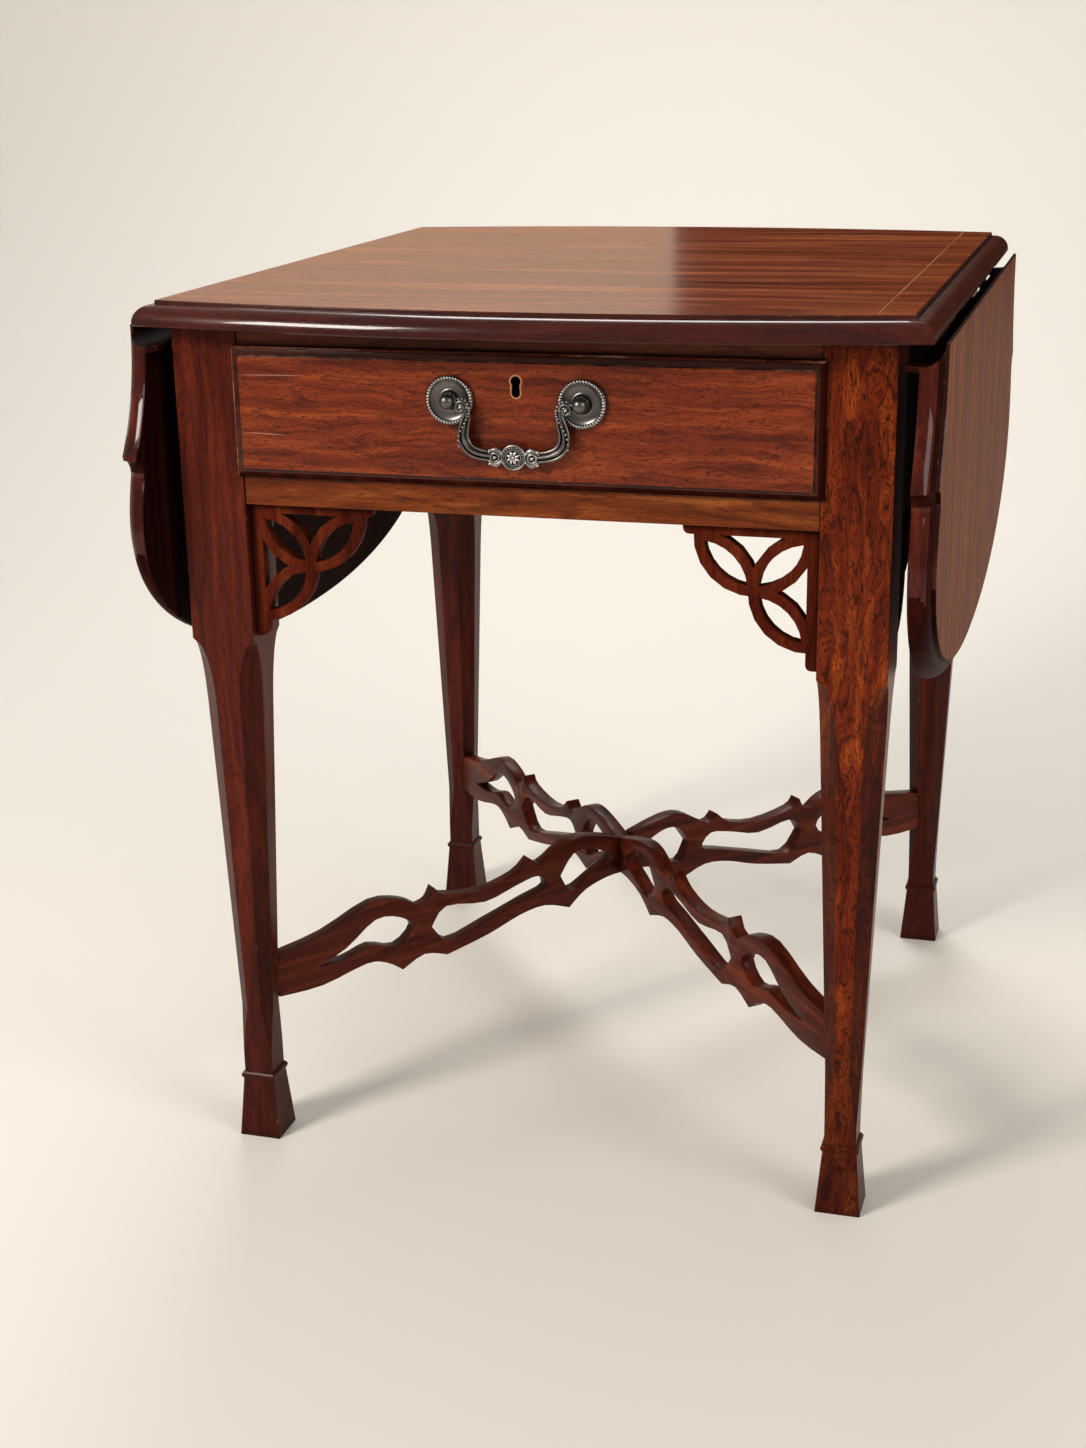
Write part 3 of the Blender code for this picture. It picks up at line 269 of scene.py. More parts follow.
    for share, tone in layers:
        colour = add("Mix", {"data_type": "RGBA", 7: hexColour(tone)}, {0: share, 6: colour}, 2)
    gloss = [wood["gloss"] + spread for spread in age["glossSpread"]]
    rough = add("MapRange", {"To": gloss}, {"Value": grain["ribbon"]})
    bump = {"Strength": age["poreBump"], "Distance": age["poreDeep"] * mm, "invert": True}
    bump = add("Bump", bump, {"Height": pores, "Normal": soft})
    feed(shader, {"Base Color": colour, "Roughness": rough, "Normal": bump})
    shader.inputs["IOR"].default_value = 1.5
    shader.inputs["Specular IOR Level"].default_value = wood["specular"]
    shader.inputs["Coat Weight"].default_value = wood["coat"]
    shader.inputs["Coat Roughness"].default_value = wood["coatRough"]
    return made


topGrain = {"axis": 0, "ribbon": (360, 24), "wander": 22, "sway": (240, 80), "lines": (420, 60),
            "lineDepth": 0.25, "poreDepth": 0.7}
topField = polishedWood("French-polished mahogany field", {
    **topGrain, "tones": ("#5a230d", "#823a1a", "#a55627"), "gloss": 0.16, "specular": 0.065, "coat": 0.0})
topRound = polishedWood("French-polished mahogany moulding", {
    **topGrain, "tones": ("#240907", "#3d120b", "#571e11"), "gloss": 0.16, "specular": 0.15, "coat": 0.4,
    "coatRough": 0.035})
topSide = polishedWood("mahogany end grain moulding", {
    **topGrain, "ribbon": (60, 3), "pores": (5, 0.8), "tones": ("#2e1009", "#4a1d11", "#622c19"),
    "gloss": 0.34, "specular": 0.08, "coat": 0.0})
leafFace = polishedWood("faded matt mahogany leaf", {
    "ribbon": (420, 8), "lines": (700, 8), "lineCount": 6.0, "lineDepth": 0.55,
    "tones": ("#4c2110", "#743b1d", "#96562d"), "gloss": 0.5, "specular": 0.04, "coat": 0.0})
leafRound = polishedWood("French-polished mahogany leaf moulding", {
    "ribbon": (360, 12), "tones": ("#260906", "#45130a", "#602211"), "gloss": 0.14, "specular": 0.04,
    "coat": 0.32, "coatRough": 0.03})
# painted shade: a darker copy of the leaf moulding for its lower and outer faces and the drawer lip's foot
# and right
shadedMoulding = polishedWood("dull mahogany moulding in painted shade", {
    "ribbon": (360, 12), "tones": ("#180605", "#2b0c07", "#3d150c"), "gloss": 0.4, "specular": 0.01,
    "coat": 0.0})
# painted shade: near-black mahogany for the leaves' inner sides and joint and the top's underside
innerShade = polishedWood("unpolished mahogany in painted shade", {
    "ribbon": (360, 12), "tones": ("#120403", "#1e0806", "#2d0f09"), "gloss": 0.6, "specular": 0.02,
    "coat": 0.0})
drawerGrain = {"axis": 0, "ribbon": (150, 8), "wander": 9, "sway": (70, 26), "lines": (130, 12),
               "lineDepth": 0.4, "pores": (5, 0.6), "poreDepth": 0.7, "poreEdge": (0.53, 0.65)}
drawerLow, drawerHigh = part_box("drawer_front")
# two old scratches, mm from the drawer's left end and down from its top
scratchEnds = (((6.0, 20.4), (60.0, 19.8)), ((7.0, 62.0), (42.0, 63.0)))
drawerFace = polishedWood("plum-pudding mahogany drawer", {
    **drawerGrain, "tones": ("#541b0b", "#752c11", "#94421a"), "flecks": 0.4, "fleckSize": (4, 0.9),
    "specular": 0.15, "coat": 0.15,
    "scratches": [[(drawerLow[0] + u * mm, drawerHigh[2] - w * mm) for u, w in ends]
                  for ends in scratchEnds]})
# its pale edges are a painted highlight along the lip
drawerLip = polishedWood("dark mahogany drawer lip", {
    **drawerGrain, "tones": ("#240b06", "#3d150a", "#542210"), "gloss": 0.18, "specular": 0.12, "coat": 0.2,
    "coatRough": 0.05, "wearAndHighlight": 0.9, "wornAndHighlight": "#b98560"})
# painted highlight: a lighter, glossier copy of the lip for the crest of the top and left lip
drawerCrestHighlight = polishedWood("rubbed mahogany lip crest", {
    **drawerGrain, "ribbon": (60, 20), "tones": ("#5f2413", "#96523c", "#d0a08c"), "gloss": 0.2,
    "specular": 0.3, "coat": 0.5})
plainWood = polishedWood("dark red mahogany", {
    "ribbon": (240, 9), "tones": ("#3a1109", "#521b0f", "#682614"), "pores": (6, 0.8), "poreDepth": 0.7,
    "flecks": 0.5, "fleckSize": (5, 1.4), "chamfer": 0.3, "floorShade": 0.5, "specular": 0.07, "coat": 0.06})
railWood = polishedWood("dark red mahogany rail", {"axis": 0, "tones": ("#290c08", "#46170d", "#5f2412")})
# painted shade: a darker, matt copy of the rail wood for the side rails and fly parts under the top
sideShade = polishedWood("dark red mahogany side in painted shade", {
    "axis": 1, "tones": ("#1f0906", "#35120b", "#4a1c10"), "gloss": 0.5, "specular": 0.05, "coat": 0.0})
# painted light: the front upper rail is lighter than the other rails, against the shadow under the top
upperRailPaintedLight = polishedWood("mahogany rail lightened with painted light", {
    "axis": 0, "tones": ("#3a170e", "#67301e", "#84432b"), "specular": 0.1, "coat": 0.0})
paleRail = polishedWood("golden mahogany rail", {
    "axis": 0, "ribbon": (160, 9), "tones": ("#4a1d0b", "#713312", "#975223"), "specular": 0.08,
    "coat": 0.08})
flameWood = polishedWood("flame mahogany leg", {
    "ribbon": (150, 11), "wander": 18, "sway": (70, 24), "lines": (120, 12), "lineCount": 6.0,
    "lineDepth": 0.65, "tones": ("#431508", "#70270d", "#9a4517"), "flecks": 0.7, "fleckSize": (5, 1.4),
    "pores": (6, 0.8), "poreDepth": 0.8, "poreEdge": (0.53, 0.64), "chamfer": 0.5, "floorShade": 0.55,
    "specular": 0.05, "coat": 0.06})
fretWood = polishedWood("red mahogany fretwork", {
    "tones": ("#34110a", "#561f11", "#703019"), "wearAndHighlight": 0.3, "gloss": 0.5, "specular": 0.01, "coat": 0.0})
# painted shade: a darker copy of the fretwork for the side frets under the top
fretShade = polishedWood("mahogany fretwork in painted shade", {
    "tones": ("#1a0705", "#2e0f09", "#42180e"), "gloss": 0.6, "specular": 0.01, "coat": 0.0})
crossLow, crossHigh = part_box("stretcher_one")
# the stretchers' grain runs corner to corner
askew = degrees(atan2(crossHigh[1] - crossLow[1], crossHigh[0] - crossLow[0]))
stretcherGrain = {"axis": 0, "ribbon": (220, 8), "lineDepth": 0.25,
                  "tones": ("#2f0f08", "#4d1b0e", "#672a14"), "gloss": 0.36, "specular": 0.08, "coat": 0.06,
                  "wearAndHighlight": 0.6}
stretcherOne = polishedWood("dark red mahogany stretcher", {**stretcherGrain, "turn": askew})
stretcherTwo = polishedWood("dark red mahogany cross stretcher", {**stretcherGrain, "turn": -askew})
print("polished woods made")

# Quarter-sawn oak: planed by hand and left bare. Pale straight grain, fine dark pores, no gloss.
bareOak = {"ribbon": (500, 4.5), "pores": (11, 0.8), "wander": 3, "sway": (300, 60), "lines": (600, 14),
           "lineDepth": 0.18, "poreDepth": 0.4, "tones": ("#8a6641", "#a88458", "#bf9d6d"),
           "veinAndShade": "#5c4126", "wornAndHighlight": "#cbb083", "gloss": 0.62, "coat": 0.0}
oakAcross = polishedWood("bare quarter-sawn oak, left to right", {**bareOak, "axis": 0})
oakDeep = polishedWood("bare quarter-sawn oak, front to back", {**bareOak, "axis": 1})
print("oak made")

# Cast and wrought metals: hollows keep a dark patina and raised parts are rubbed bright, with a painted
# highlight on them. Sizes in mm.
castPewter = {"hollow": "#060505", "skin": "#6b6764", "bright": "#e6e2df", "rough": 0.28, "grit": 0.8,
              "reach": 4}
blackIron = {"hollow": "#0d0c0b", "skin": "#2b2826", "bright": "#6b625a", "rough": 0.48, "grit": 1.6,
             "reach": 4}
dullBrass = {"hollow": "#2a140a", "skin": "#8a4d2c", "bright": "#c98a5e", "rough": 0.36, "grit": 1.2,
             "reach": 3}
metalAge = {"open": (0.50, 0.96), "edge": (0.52, 0.64), "rubbedAndHighlight": (0.42, 1.0), "cloud": 9, "cloudShare": 0.5,
            "roughSpread": (-0.08, 0.16), "bump": 0.10, "bumpDeep": 0.2}


def agedMetal(name, metal):
    age = metalAge
    made, add, shader = newMaterial(name)
    place = add("TexCoord", out="Object")
    bare = add("AmbientOcclusion", {"samples": 8, "Distance": metal["reach"] * mm}, out="AO")
    bare = add("MapRange", {"From": age["open"]}, {"Value": bare})
    grit, cloud = [add("TexNoise", {"Scale": 1000 / size, "Detail": 3.0}, {"Vector": place})
                   for size in (metal["grit"], age["cloud"])]
    dark, skin, bright = [hexColour(metal[part]) for part in ("hollow", "skin", "bright")]
    body = add("Mix", {"data_type": "RGBA", 6: dark, 7: skin}, {0: bare}, 2)
    # raised parts lighter: rubbed metal and a painted highlight
    edge = add("NewGeometry", out="Pointiness")
    edge = add("MapRange", {"From": age["edge"]}, {"Value": edge})
    edge = add("Math MULTIPLY_ADD", {1: age["cloudShare"]}, {0: cloud, 2: edge})
    edge = add("MapRange", {"From": age["rubbedAndHighlight"]}, {"Value": edge})
    rubbedAndHighlight = add("Math MULTIPLY", {}, {0: edge, 1: bare})
    colour = add("Mix", {"data_type": "RGBA", 7: bright}, {0: rubbedAndHighlight, 6: body}, 2)
    dull = [metal["rough"] + spread for spread in age["roughSpread"]]
    rough = add("MapRange", {"To": dull}, {"Value": grit})
    bump = add("Bump", {"Strength": age["bump"], "Distance": age["bumpDeep"] * mm}, {"Height": grit})
    feed(shader, {"Base Color": colour, "Roughness": rough, "Normal": bump})
    shader.inputs["Metallic"].default_value = 1.0
    return made


pewter = agedMetal("antiqued cast pewter", castPewter)
iron = agedMetal("blackened wrought iron", blackIron)
brass = agedMetal("dull rolled brass", dullBrass)
print("metals made")

# which finish each node carries, first match wins
finishes = [
    ("leg_front_right", flameWood), ("leg_", plainWood),
    ("rail_front_lower", paleRail), ("rail_front_upper", upperRailPaintedLight), ("rail_", railWood),
    ("side_rail", sideShade), ("fly_hanger", sideShade), ("fly_arm", sideShade), ("fly_pin", iron),
    ("drawer_front", drawerFace), ("drawer_side", oakDeep), ("drawer_back", oakAcross),
    ("drawer_bottom", oakAcross), ("drawer_", oakDeep),
    ("fret_side", fretShade), ("fret_", fretWood),
    ("stretcher_one", stretcherOne), ("stretcher_two", stretcherTwo),
    ("table_top", topField), ("leaf_", leafFace), ("hinge_", iron), ("lock_", iron),
    ("keyhole", brass), ("rosette", pewter), ("pull_post", pewter), ("bail", pewter)]


def finishOf(name):
    return next(made for start, made in finishes if name.startswith(start))


for name, node in nodes.items():
    for slot in node.material_slots:
        slot.material = finishOf(name)
print("finishes laid on %d nodes" % len(nodes))


def meshObject(name, bm):
    mesh = bpy.data.meshes.new(name)
    bm.to_mesh(mesh)
    bm.free()
    made = bpy.data.objects.new(name, mesh)
    scene.collection.objects.link(made)
    return made


def newPiece(name, bm, finish, body, replaced=None, smooth=40, sort=None):
    # sort picks one of several finishes for a face
    bmesh.ops.recalc_face_normals(bm, faces=bm.faces)
    for face in bm.faces if sort else ():
        face.material_index = sort(face)
    piece = meshObject(name, bm)
    piece.data.shade_smooth()
    piece.data.set_sharp_from_angle(angle=radians(smooth))
    for layer in finish if sort else (finish,):
        piece.data.materials.append(layer)
    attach(piece, body)
    if replaced:
        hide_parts(replaced)


def joinRings(bm, rings, closed=False):
    # rings of equal count, joined in turn; an open run is capped at both ends
    rows = [[bm.verts.new(p) for p in ring] for ring in rings]
    count = len(rows[0])
    for low, high in zip(rows, rows[1:] + rows[:1] if closed else rows[1:]):
        for i in range(count):
            j = (i + 1) % count
            bm.faces.new((low[i], low[j], high[j], high[i]))
    if not closed:
        bm.faces.new(rows[0])
        bm.faces.new(rows[-1])


def fullTurn(count):
    return [2 * pi * k / count for k in range(count)]


def quarterTurn(steps):
    return [pi / 2 * k / steps for k in range(steps + 1)]


def frontRing(x, y, z, radius, count):
    # points round a circle that faces the front
    return [(x + radius * cos(t), y, z + radius * sin(t)) for t in fullTurn(count)]


def tube(bm, points, radii, sides=10):
    # a tapered rod through the points with rounded ends
    ends = ((0.35, 0.9), (0.8, 0.55))
    points = [Vector(p) for p in points]
    rings = []
    last = len(points) - 1
    normal = (points[1] - points[0]).normalized().orthogonal().normalized()
    for i, (p, radius) in enumerate(zip(points, radii)):
        ahead = (points[min(i + 1, last)] - points[max(i - 1, 0)]).normalized()
        normal = (normal - ahead * normal.dot(ahead)).normalized()
        other = ahead.cross(normal)
        ring = [cos(t) * normal + sin(t) * other for t in fullTurn(sides)]
        if i == 0:
            for share, back in ends:
                rings.append([p - ahead * radius * back + v * radius * share for v in ring])
        rings.append([p + v * radius for v in ring])
        if i == last:
            for share, on in reversed(ends):
                rings.append([p + ahead * radius * on + v * radius * share for v in ring])
    joinRings(bm, rings)


def ball(bm, centre, radii, across=12, rows=7):
    rx, ry, rz = radii if isinstance(radii, tuple) else (radii, radii, radii)
    x, y, z = centre
    rings = []
    for i in range(rows + 1):
        lift = -pi / 2 + pi * (i + 0.3) / (rows + 0.6)  # small flat ends in place of poles
        rings.append([(x + rx * cos(lift) * cos(t), y + ry * sin(lift), z + rz * cos(lift) * sin(t))
                      for t in fullTurn(across)])
    joinRings(bm, rings)


def hoop(bm, centre, radius, thick, around, sides):
    # a ring that faces the front
    x, y, z = centre
    section = [(thick * cos(t), thick * sin(t)) for t in fullTurn(sides)]
    rings = []
    for turn in fullTurn(around):
        rings.append([(x + (radius + out) * cos(turn), y + deep, z + (radius + out) * sin(turn))
                      for out, deep in section])
    joinRings(bm, rings, closed=True)


def smoothLine(points, steps):
    # a rounded line through the points, with steps pieces between two neighbours
    line = []
    last = len(points) - 1
    for i in range(last):
        before, a, b, after = points[max(i - 1, 0)], points[i], points[i + 1], points[min(i + 2, last)]
        for k in range(steps):
            t = k / steps
            line.append(tuple(0.5 * (2 * q + (r - p) * t + (2 * p - 5 * q + 4 * r - w) * t * t
                                     + (3 * q - p - 3 * r + w) * t ** 3)
                              for p, q, r, w in zip(before, a, b, after)))
    return line + [tuple(points[-1])]


def carve(bm, cutters):
    # each cutter is a run of rings; its shape is taken out of the block
    bmesh.ops.recalc_face_normals(bm, faces=bm.faces)
    block = meshObject("block", bm)
    spent = [block]
    for rings in cutters:
        cut = bmesh.new()
        joinRings(cut, rings)
        bmesh.ops.recalc_face_normals(cut, faces=cut.faces)
        blade = meshObject("cutter", cut)
        spent.append(blade)
        change = block.modifiers.new("cut", "BOOLEAN")
        change.operation = "DIFFERENCE"
        change.solver = "EXACT"
        change.object = blade
    bpy.context.view_layer.update()
    done = bmesh.new()
    done.from_object(block, bpy.context.evaluated_depsgraph_get())
    for used in spent:
        bpy.data.objects.remove(used)
    return done


def grownBox(name, reachLow=(0, 0, 0), reachHigh=(0, 0, 0)):
    # a node's box, wider by the gap all round and longer where asked; mm
    low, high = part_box(name)
    x0, y0, z0 = [c - (fitGap + r) * mm for c, r in zip(low, reachLow)]
    x1, y1, z1 = [c + (fitGap + r) * mm for c, r in zip(high, reachHigh)]
    return [[(x, y0, z0), (x, y1, z0), (x, y1, z1), (x, y0, z1)] for x in (x0, x1)]


# moulded edge shared by the fixed top and the leaves; mm
edgeMould = {"thick": 18.0, "fillet": 3.0, "ledge": 1.5, "round": 12.5, "ease": 2.0, "steps": 14,
             "smooth": 32}


def edgeProfile(plan):
    # (inset, depth below the face), from the underside up to the face
    ease, thick = plan["ease"], plan["thick"]
    steps = [(ease, thick), (ease * 0.4, thick - 0.25), (0.0, thick - 1.1)]
    for turn in quarterTurn(plan["steps"]):
        steps.append((plan["round"] * (1 - cos(turn)), plan["fillet"] + plan["round"] * (1 - sin(turn))))
    inner = plan["round"] + plan["ledge"]
    return steps + [(inner, plan["fillet"]), (inner + 0.1, 0.5), (inner + 0.5, 0.0)]


# fixed top, bowed at the front and back; half sizes in mm
tableTop = {"halfX": 286.5, "endY": 301.5, "bow": 30.0, "count": 60, "plateReach": 20}


def bowAt(plan, x):
    return plan["bow"] * (1 - (x / plan["halfX"]) ** 2)


def makeTop(plan):
    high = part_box("table_top")[1][2]
    rings = []
    for inset, down in edgeProfile(edgeMould):
        half = plan["halfX"] - inset
        edge = []
        for i in range(plan["count"] + 1):
            x = -half + 2 * half * i / plan["count"]
            edge.append((x, plan["endY"] - inset + bowAt(plan, x)))
        rings.append([(x * mm, -y * mm, high - down * mm) for x, y in edge]
                     + [(x * mm, y * mm, high - down * mm) for x, y in reversed(edge)])
    bm = bmesh.new()
    joinRings(bm, rings)
    cutters = []
    reach = plan["plateReach"]
    for word, left, right in (("left", reach, 0), ("right", 0, reach)):
        for place in ("front", "back"):
            cutters.append(grownBox("hinge_%s_%s_plate" % (word, place), (left, 0, 1), (right, 0, 0)))
    side = plan["halfX"] - edgeMould["round"] - edgeMould["ledge"]

    def sort(face):
        # field, underside in painted shade, side mouldings, and the front and back mouldings
        middle = face.calc_center_median()
        if face.normal.z > 0.99 and middle.z > high - 0.2 * mm:
            return 0
        if face.normal.z < -0.9:
            return 3
        return 2 if abs(middle.x) > side * mm and abs(face.normal.x) > abs(face.normal.y) else 1

    newPiece("moulded_top", carve(bm, cutters), [topField, topRound, topSide, innerShade], "frame",
             "table_top", edgeMould["smooth"], sort)


# hanging leaf: a moulded outline with a cusp, hollowed along its top for the rule joint; mm
leaf = {"lipTop": 661.6, "endY": 301.5, "cusp": 569.0,
        "flare": (28.0, 2.2, 24),  # outward, power, steps
        "step": (11.5, 15.0, 10), "bulge": (7.5, 38.0, 14),  # across, down, steps
        "sweep": (133.0, 2.2, 60),  # down, squareness, steps
        "hollow": (279.5, 661.0, 13.3),  # middle x and z, radius
        "hollowRise": 3, "hollowSteps": 12, "hollowLong": 345.0, "flapReach": 8,
        "tongue": ((277.6, 643.1), (277.6, 647.7), (272.25, 647.7), (267.5, 648.9), (267.5, 644.9)),
        "tongueEnds": (0.6, 30.0), "shadeFrom": 640.0}


def leafOutline(plan):
    # half outline as (y, z, inward y, inward z), from the top to the bottom middle
    line = []
    top, z = plan["lipTop"], plan["cusp"]
    across, power, steps = plan["flare"]
    for k in range(steps + 1):
        share = k / steps
        line.append((plan["endY"] + across * share ** power, top + (z - top) * share, -1, 0))
    y = plan["endY"] + across
    across, down, steps = plan["step"]
    for turn in quarterTurn(steps)[1:]:
        line.append((y - across * sin(turn), z - down * (1 - cos(turn)), -1, 0))
    y, z = y - across, z - down
    across, down, steps = plan["bulge"]
    for k in range(1, steps):
        share = k / steps
        line.append((y + across * sin(pi / 2 * share), z - down * share, -1, 0))
    y, z = y + across, z - down
    down, power, steps = plan["sweep"]
    for turn in quarterTurn(steps):
        u, w = max(cos(turn), 0) ** (2 / power), sin(turn) ** (2 / power)
        slope = Vector((u ** (power - 1) / y, w ** (power - 1) / down)).normalized()
        line.append((y * u, z - down * w, -slope[0], slope[1]))
    return line


def makeLeaf(word, side, plan):
    low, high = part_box("leaf_" + word)
    outer = high[0] if side > 0 else -low[0]
    half = leafOutline(plan)
    rings = []
    for inset, down in edgeProfile(edgeMould):
        row = [((y + inset * ny) * mm, (z + inset * nz) * mm) for y, z, ny, nz in half]
        row += [(-y, z) for y, z in reversed(row[:-1])]
        rings.append([(side * (outer - down * mm), y, z) for y, z in row])
    bm = bmesh.new()
    joinRings(bm, rings)
    x, z, r = plan["hollow"]
    above = z + plan["hollowRise"]
    inside = outer / mm - edgeMould["thick"] - 1
    hollow = [(x + r, above)]
    hollow += [(x + r * cos(turn), z - r * sin(turn)) for turn in quarterTurn(plan["hollowSteps"])]
    hollow += [(inside, z - r), (inside, above)]
    long = plan["hollowLong"]
    cutters = [[[(side * u * mm, y * mm, w * mm) for u, w in hollow] for y in (-long, long)]]
    for place in ("front", "back"):
        cutters.append(grownBox("hinge_%s_%s_flap" % (word, place), (0, 0, 0), (0, 0, plan["flapReach"])))
    bm = carve(bm, cutters)
    for end in (-1, 1):
        joinRings(bm, [[(side * u * mm, end * y * mm, w * mm) for u, w in plan["tongue"]]
                       for y in (plan["endY"] - short for short in plan["tongueEnds"])])

    def sort(face):
        # face, inner side and joint in painted shade, the moulding's lower and outer parts in painted shade,
        # and its polished round
        middle, out = face.calc_center_median(), side * face.normal.x
        if out > 0.98 and side * middle.x > outer - 0.3 * mm:
            return 0
        shaded = out < -0.9 or (abs(face.normal.y) < 0.2 and middle.z > plan["shadeFrom"] * mm)
        if shaded or side * middle.x < outer - (edgeMould["thick"] + 0.1) * mm:
            return 2
        return 3 if face.normal.z < -0.2 or out > 0.75 else 1

    body = "leaf_" + word
    newPiece("moulded_" + body, bm, [leafFace, leafRound, innerShade, shadedMoulding], body, body,
             edgeMould["smooth"], sort)


def pullSeat(word):
    # middle of a back plate, and the drawer's face behind it
    low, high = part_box("rosette_" + word)
    return (low[0] + high[0]) / 2, (low[2] + high[2]) / 2, high[1] + fitGap * mm


# lipped drawer front with a thumb-moulded edge, holes for the lock, key and pull; mm
drawerFront = {"step": 1.6, "ledge": 7.0, "ledgeLean": 0.15, "round": 6.2, "roundDeep": 4.2, "roundSteps": 10,
               "lip": 6.5, "lipSides": 4.0, "lipFoot": 3.5, "lipHead": 4.0, "keyRound": 3.7, "keyNeck": 2.5,
               "keyFoot": 3.1, "keyDrop": 11.2, "keyRim": 1.3, "keyAround": 32, "seat": 1.8, "postHole": 3.9,
               "holeAround": 24, "lockReach": (0, 20, 2), "smooth": 32}


def keyRings(plan, grow, top, front, back):
    # the key's round, its rounded foot and the slot that widens downward, each cut by itself
    z = top - (plan["keyRim"] + plan["keyRound"]) * mm
    foot = z - (plan["keyDrop"] - plan["keyFoot"]) * mm
    cuts = []
    for r, at in ((plan["keyRound"], z), (plan["keyFoot"], foot)):
        cuts.append([frontRing(0.0, y, at, (r + grow) * mm, plan["keyAround"]) for y in (front, back)])
    neck, wide = (plan["keyNeck"] + grow) * mm, (plan["keyFoot"] + grow) * mm
    cuts.append([[(-neck, y, z), (-wide, y, foot), (wide, y, foot), (neck, y, z)] for y in (front, back)])
    return cuts


def makeDrawerFront(plan):
    (x0, face, z0), (x1, back, z1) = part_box("drawer_front")
    lipBack = face + plan["lip"] * mm
    rings = []

    def ring(y, sides, foot, head):
        rings.append([(x0 + sides * mm, y, z0 + foot * mm), (x1 - sides * mm, y, z0 + foot * mm),
                      (x1 - sides * mm, y, z1 - head * mm), (x0 + sides * mm, y, z1 - head * mm)])

    ledge = plan["ledge"]
    ring(face, ledge, ledge, ledge)
    ledge -= plan["ledgeLean"]
    ring(face + plan["step"] * mm, ledge, ledge, ledge)
    for turn in quarterTurn(plan["roundSteps"]):
        inset = plan["round"] * (1 - sin(turn))
        ring(face + (plan["step"] + plan["roundDeep"] * (1 - cos(turn))) * mm, inset, inset, inset)
    ring(lipBack, 0, 0, 0)
    for y in (lipBack, back):
        ring(y, plan["lipSides"], plan["lipFoot"], plan["lipHead"])
    bm = bmesh.new()
    joinRings(bm, rings)
    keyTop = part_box("keyhole_escutcheon")[1][2]
    cutters = [grownBox("lock_case", (0, 0, 0), plan["lockReach"]), grownBox("drawer_bottom")]
    cutters += keyRings(plan, 0.0, keyTop, face - mm, back + mm)
    cutters += keyRings(plan, plan["keyRim"] + fitGap, keyTop, face - mm, face + plan["seat"] * mm)
    for word in ("left", "right"):
        x, z, _ = pullSeat(word)
        cutters.append([frontRing(x, y, z, plan["postHole"] * mm, plan["holeAround"])
                        for y in (face - mm, back + mm)])

    def sort(side):
        # face, a painted highlight on the crest of the top and left lip, painted shade on the lip's foot and
        # right, and the rest of the lip
        if side.normal.y < -0.99 and side.calc_center_median().y < face + 0.2 * mm:
            return 0
        if -0.82 < side.normal.y < -0.5 and max(side.normal.z, -side.normal.x) > 0.45:
            return 2
        return 3 if side.normal.z < -0.2 or side.normal.x > 0.2 else 1

    newPiece("lipped_drawer_front", carve(bm, cutters), [drawerFace, drawerLip, drawerCrestHighlight, shadedMoulding],
             "drawer", "drawer_front", plan["smooth"], sort)


# sawn fretwork and stretchers with their edges rubbed round; mm
sawnWork = {"ease": 0.8, "rounds": 2, "sharp": 35.0, "flat": 0.5, "starts": ("fret_", "stretcher_")}


def easeSawnWork(plan):
    for name in [n for n in nodes if n.startswith(plan["starts"])]:
        bm = bmesh.new()
        bm.from_mesh(nodes[name].data)
        bmesh.ops.remove_doubles(bm, verts=bm.verts, dist=0.001 * mm)
        bmesh.ops.dissolve_limit(bm, angle_limit=radians(plan["flat"]), verts=bm.verts, edges=bm.edges)
        corners = [e for e in bm.edges if e.is_manifold and e.calc_face_angle() > radians(plan["sharp"])]
        bmesh.ops.bevel(bm, geom=corners, offset=plan["ease"] * mm, segments=plan["rounds"], profile=0.5,
                        affect="EDGES", clamp_overlap=True)
        newPiece("eased_" + name, bm, finishOf(name), "frame", name, plan["sharp"])


easeSawnWork(sawnWork)
print("fretwork and stretchers eased")

makeTop(tableTop)
makeLeaf("left", -1, leaf)
makeLeaf("right", 1, leaf)
makeDrawerFront(drawerFront)
print("top, leaves and drawer front moulded")

# cast back plates with a dished middle and a rope rim; (radius, height over the drawer's face) in mm
rosette = {"dish": ((3.9, 0.3), (16.6, 0.3), (17.1, 0.8), (16.9, 1.6), (14.6, 2.4), (13.9, 2.3), (13.3, 1.9),
                    (12.0, 1.55), (10.2, 1.3), (8.4, 1.2), (7.8, 1.25), (7.5, 1.5), (7.0, 1.55), (6.7, 1.3),
                    (5.6, 1.25), (3.9, 1.3)),
           "around": 72, "ropeRadius": 15.7, "ropeThick": 1.35, "ropeLift": 2.5, "strands": 46, "lay": 0.2,
           "strandSteps": 6, "ropeSides": 10, "smooth": 60}


def makeRosette(word, plan):
    x, z, face = pullSeat(word)
    bm = bmesh.new()
    dish = [frontRing(x, face - h * mm, z, r * mm, plan["around"]) for r, h in plan["dish"]]
    joinRings(bm, dish, closed=True)
    rings = []
    for turn in fullTurn(plan["strands"] * plan["strandSteps"]):
        ring = []
        for side in fullTurn(plan["ropeSides"]):
            thick = plan["ropeThick"] * (1 + plan["lay"] * cos(plan["strands"] * turn + side))
            r = plan["ropeRadius"] + thick * cos(side)
            ring.append((x + r * mm * cos(turn), face - (plan["ropeLift"] + thick * sin(side)) * mm,
                         z + r * mm * sin(turn)))
        rings.append(ring)
    joinRings(bm, rings, closed=True)
    newPiece("rosette" + word.title(), bm, pewter, "drawer", "rosette_" + word,
             plan["smooth"])


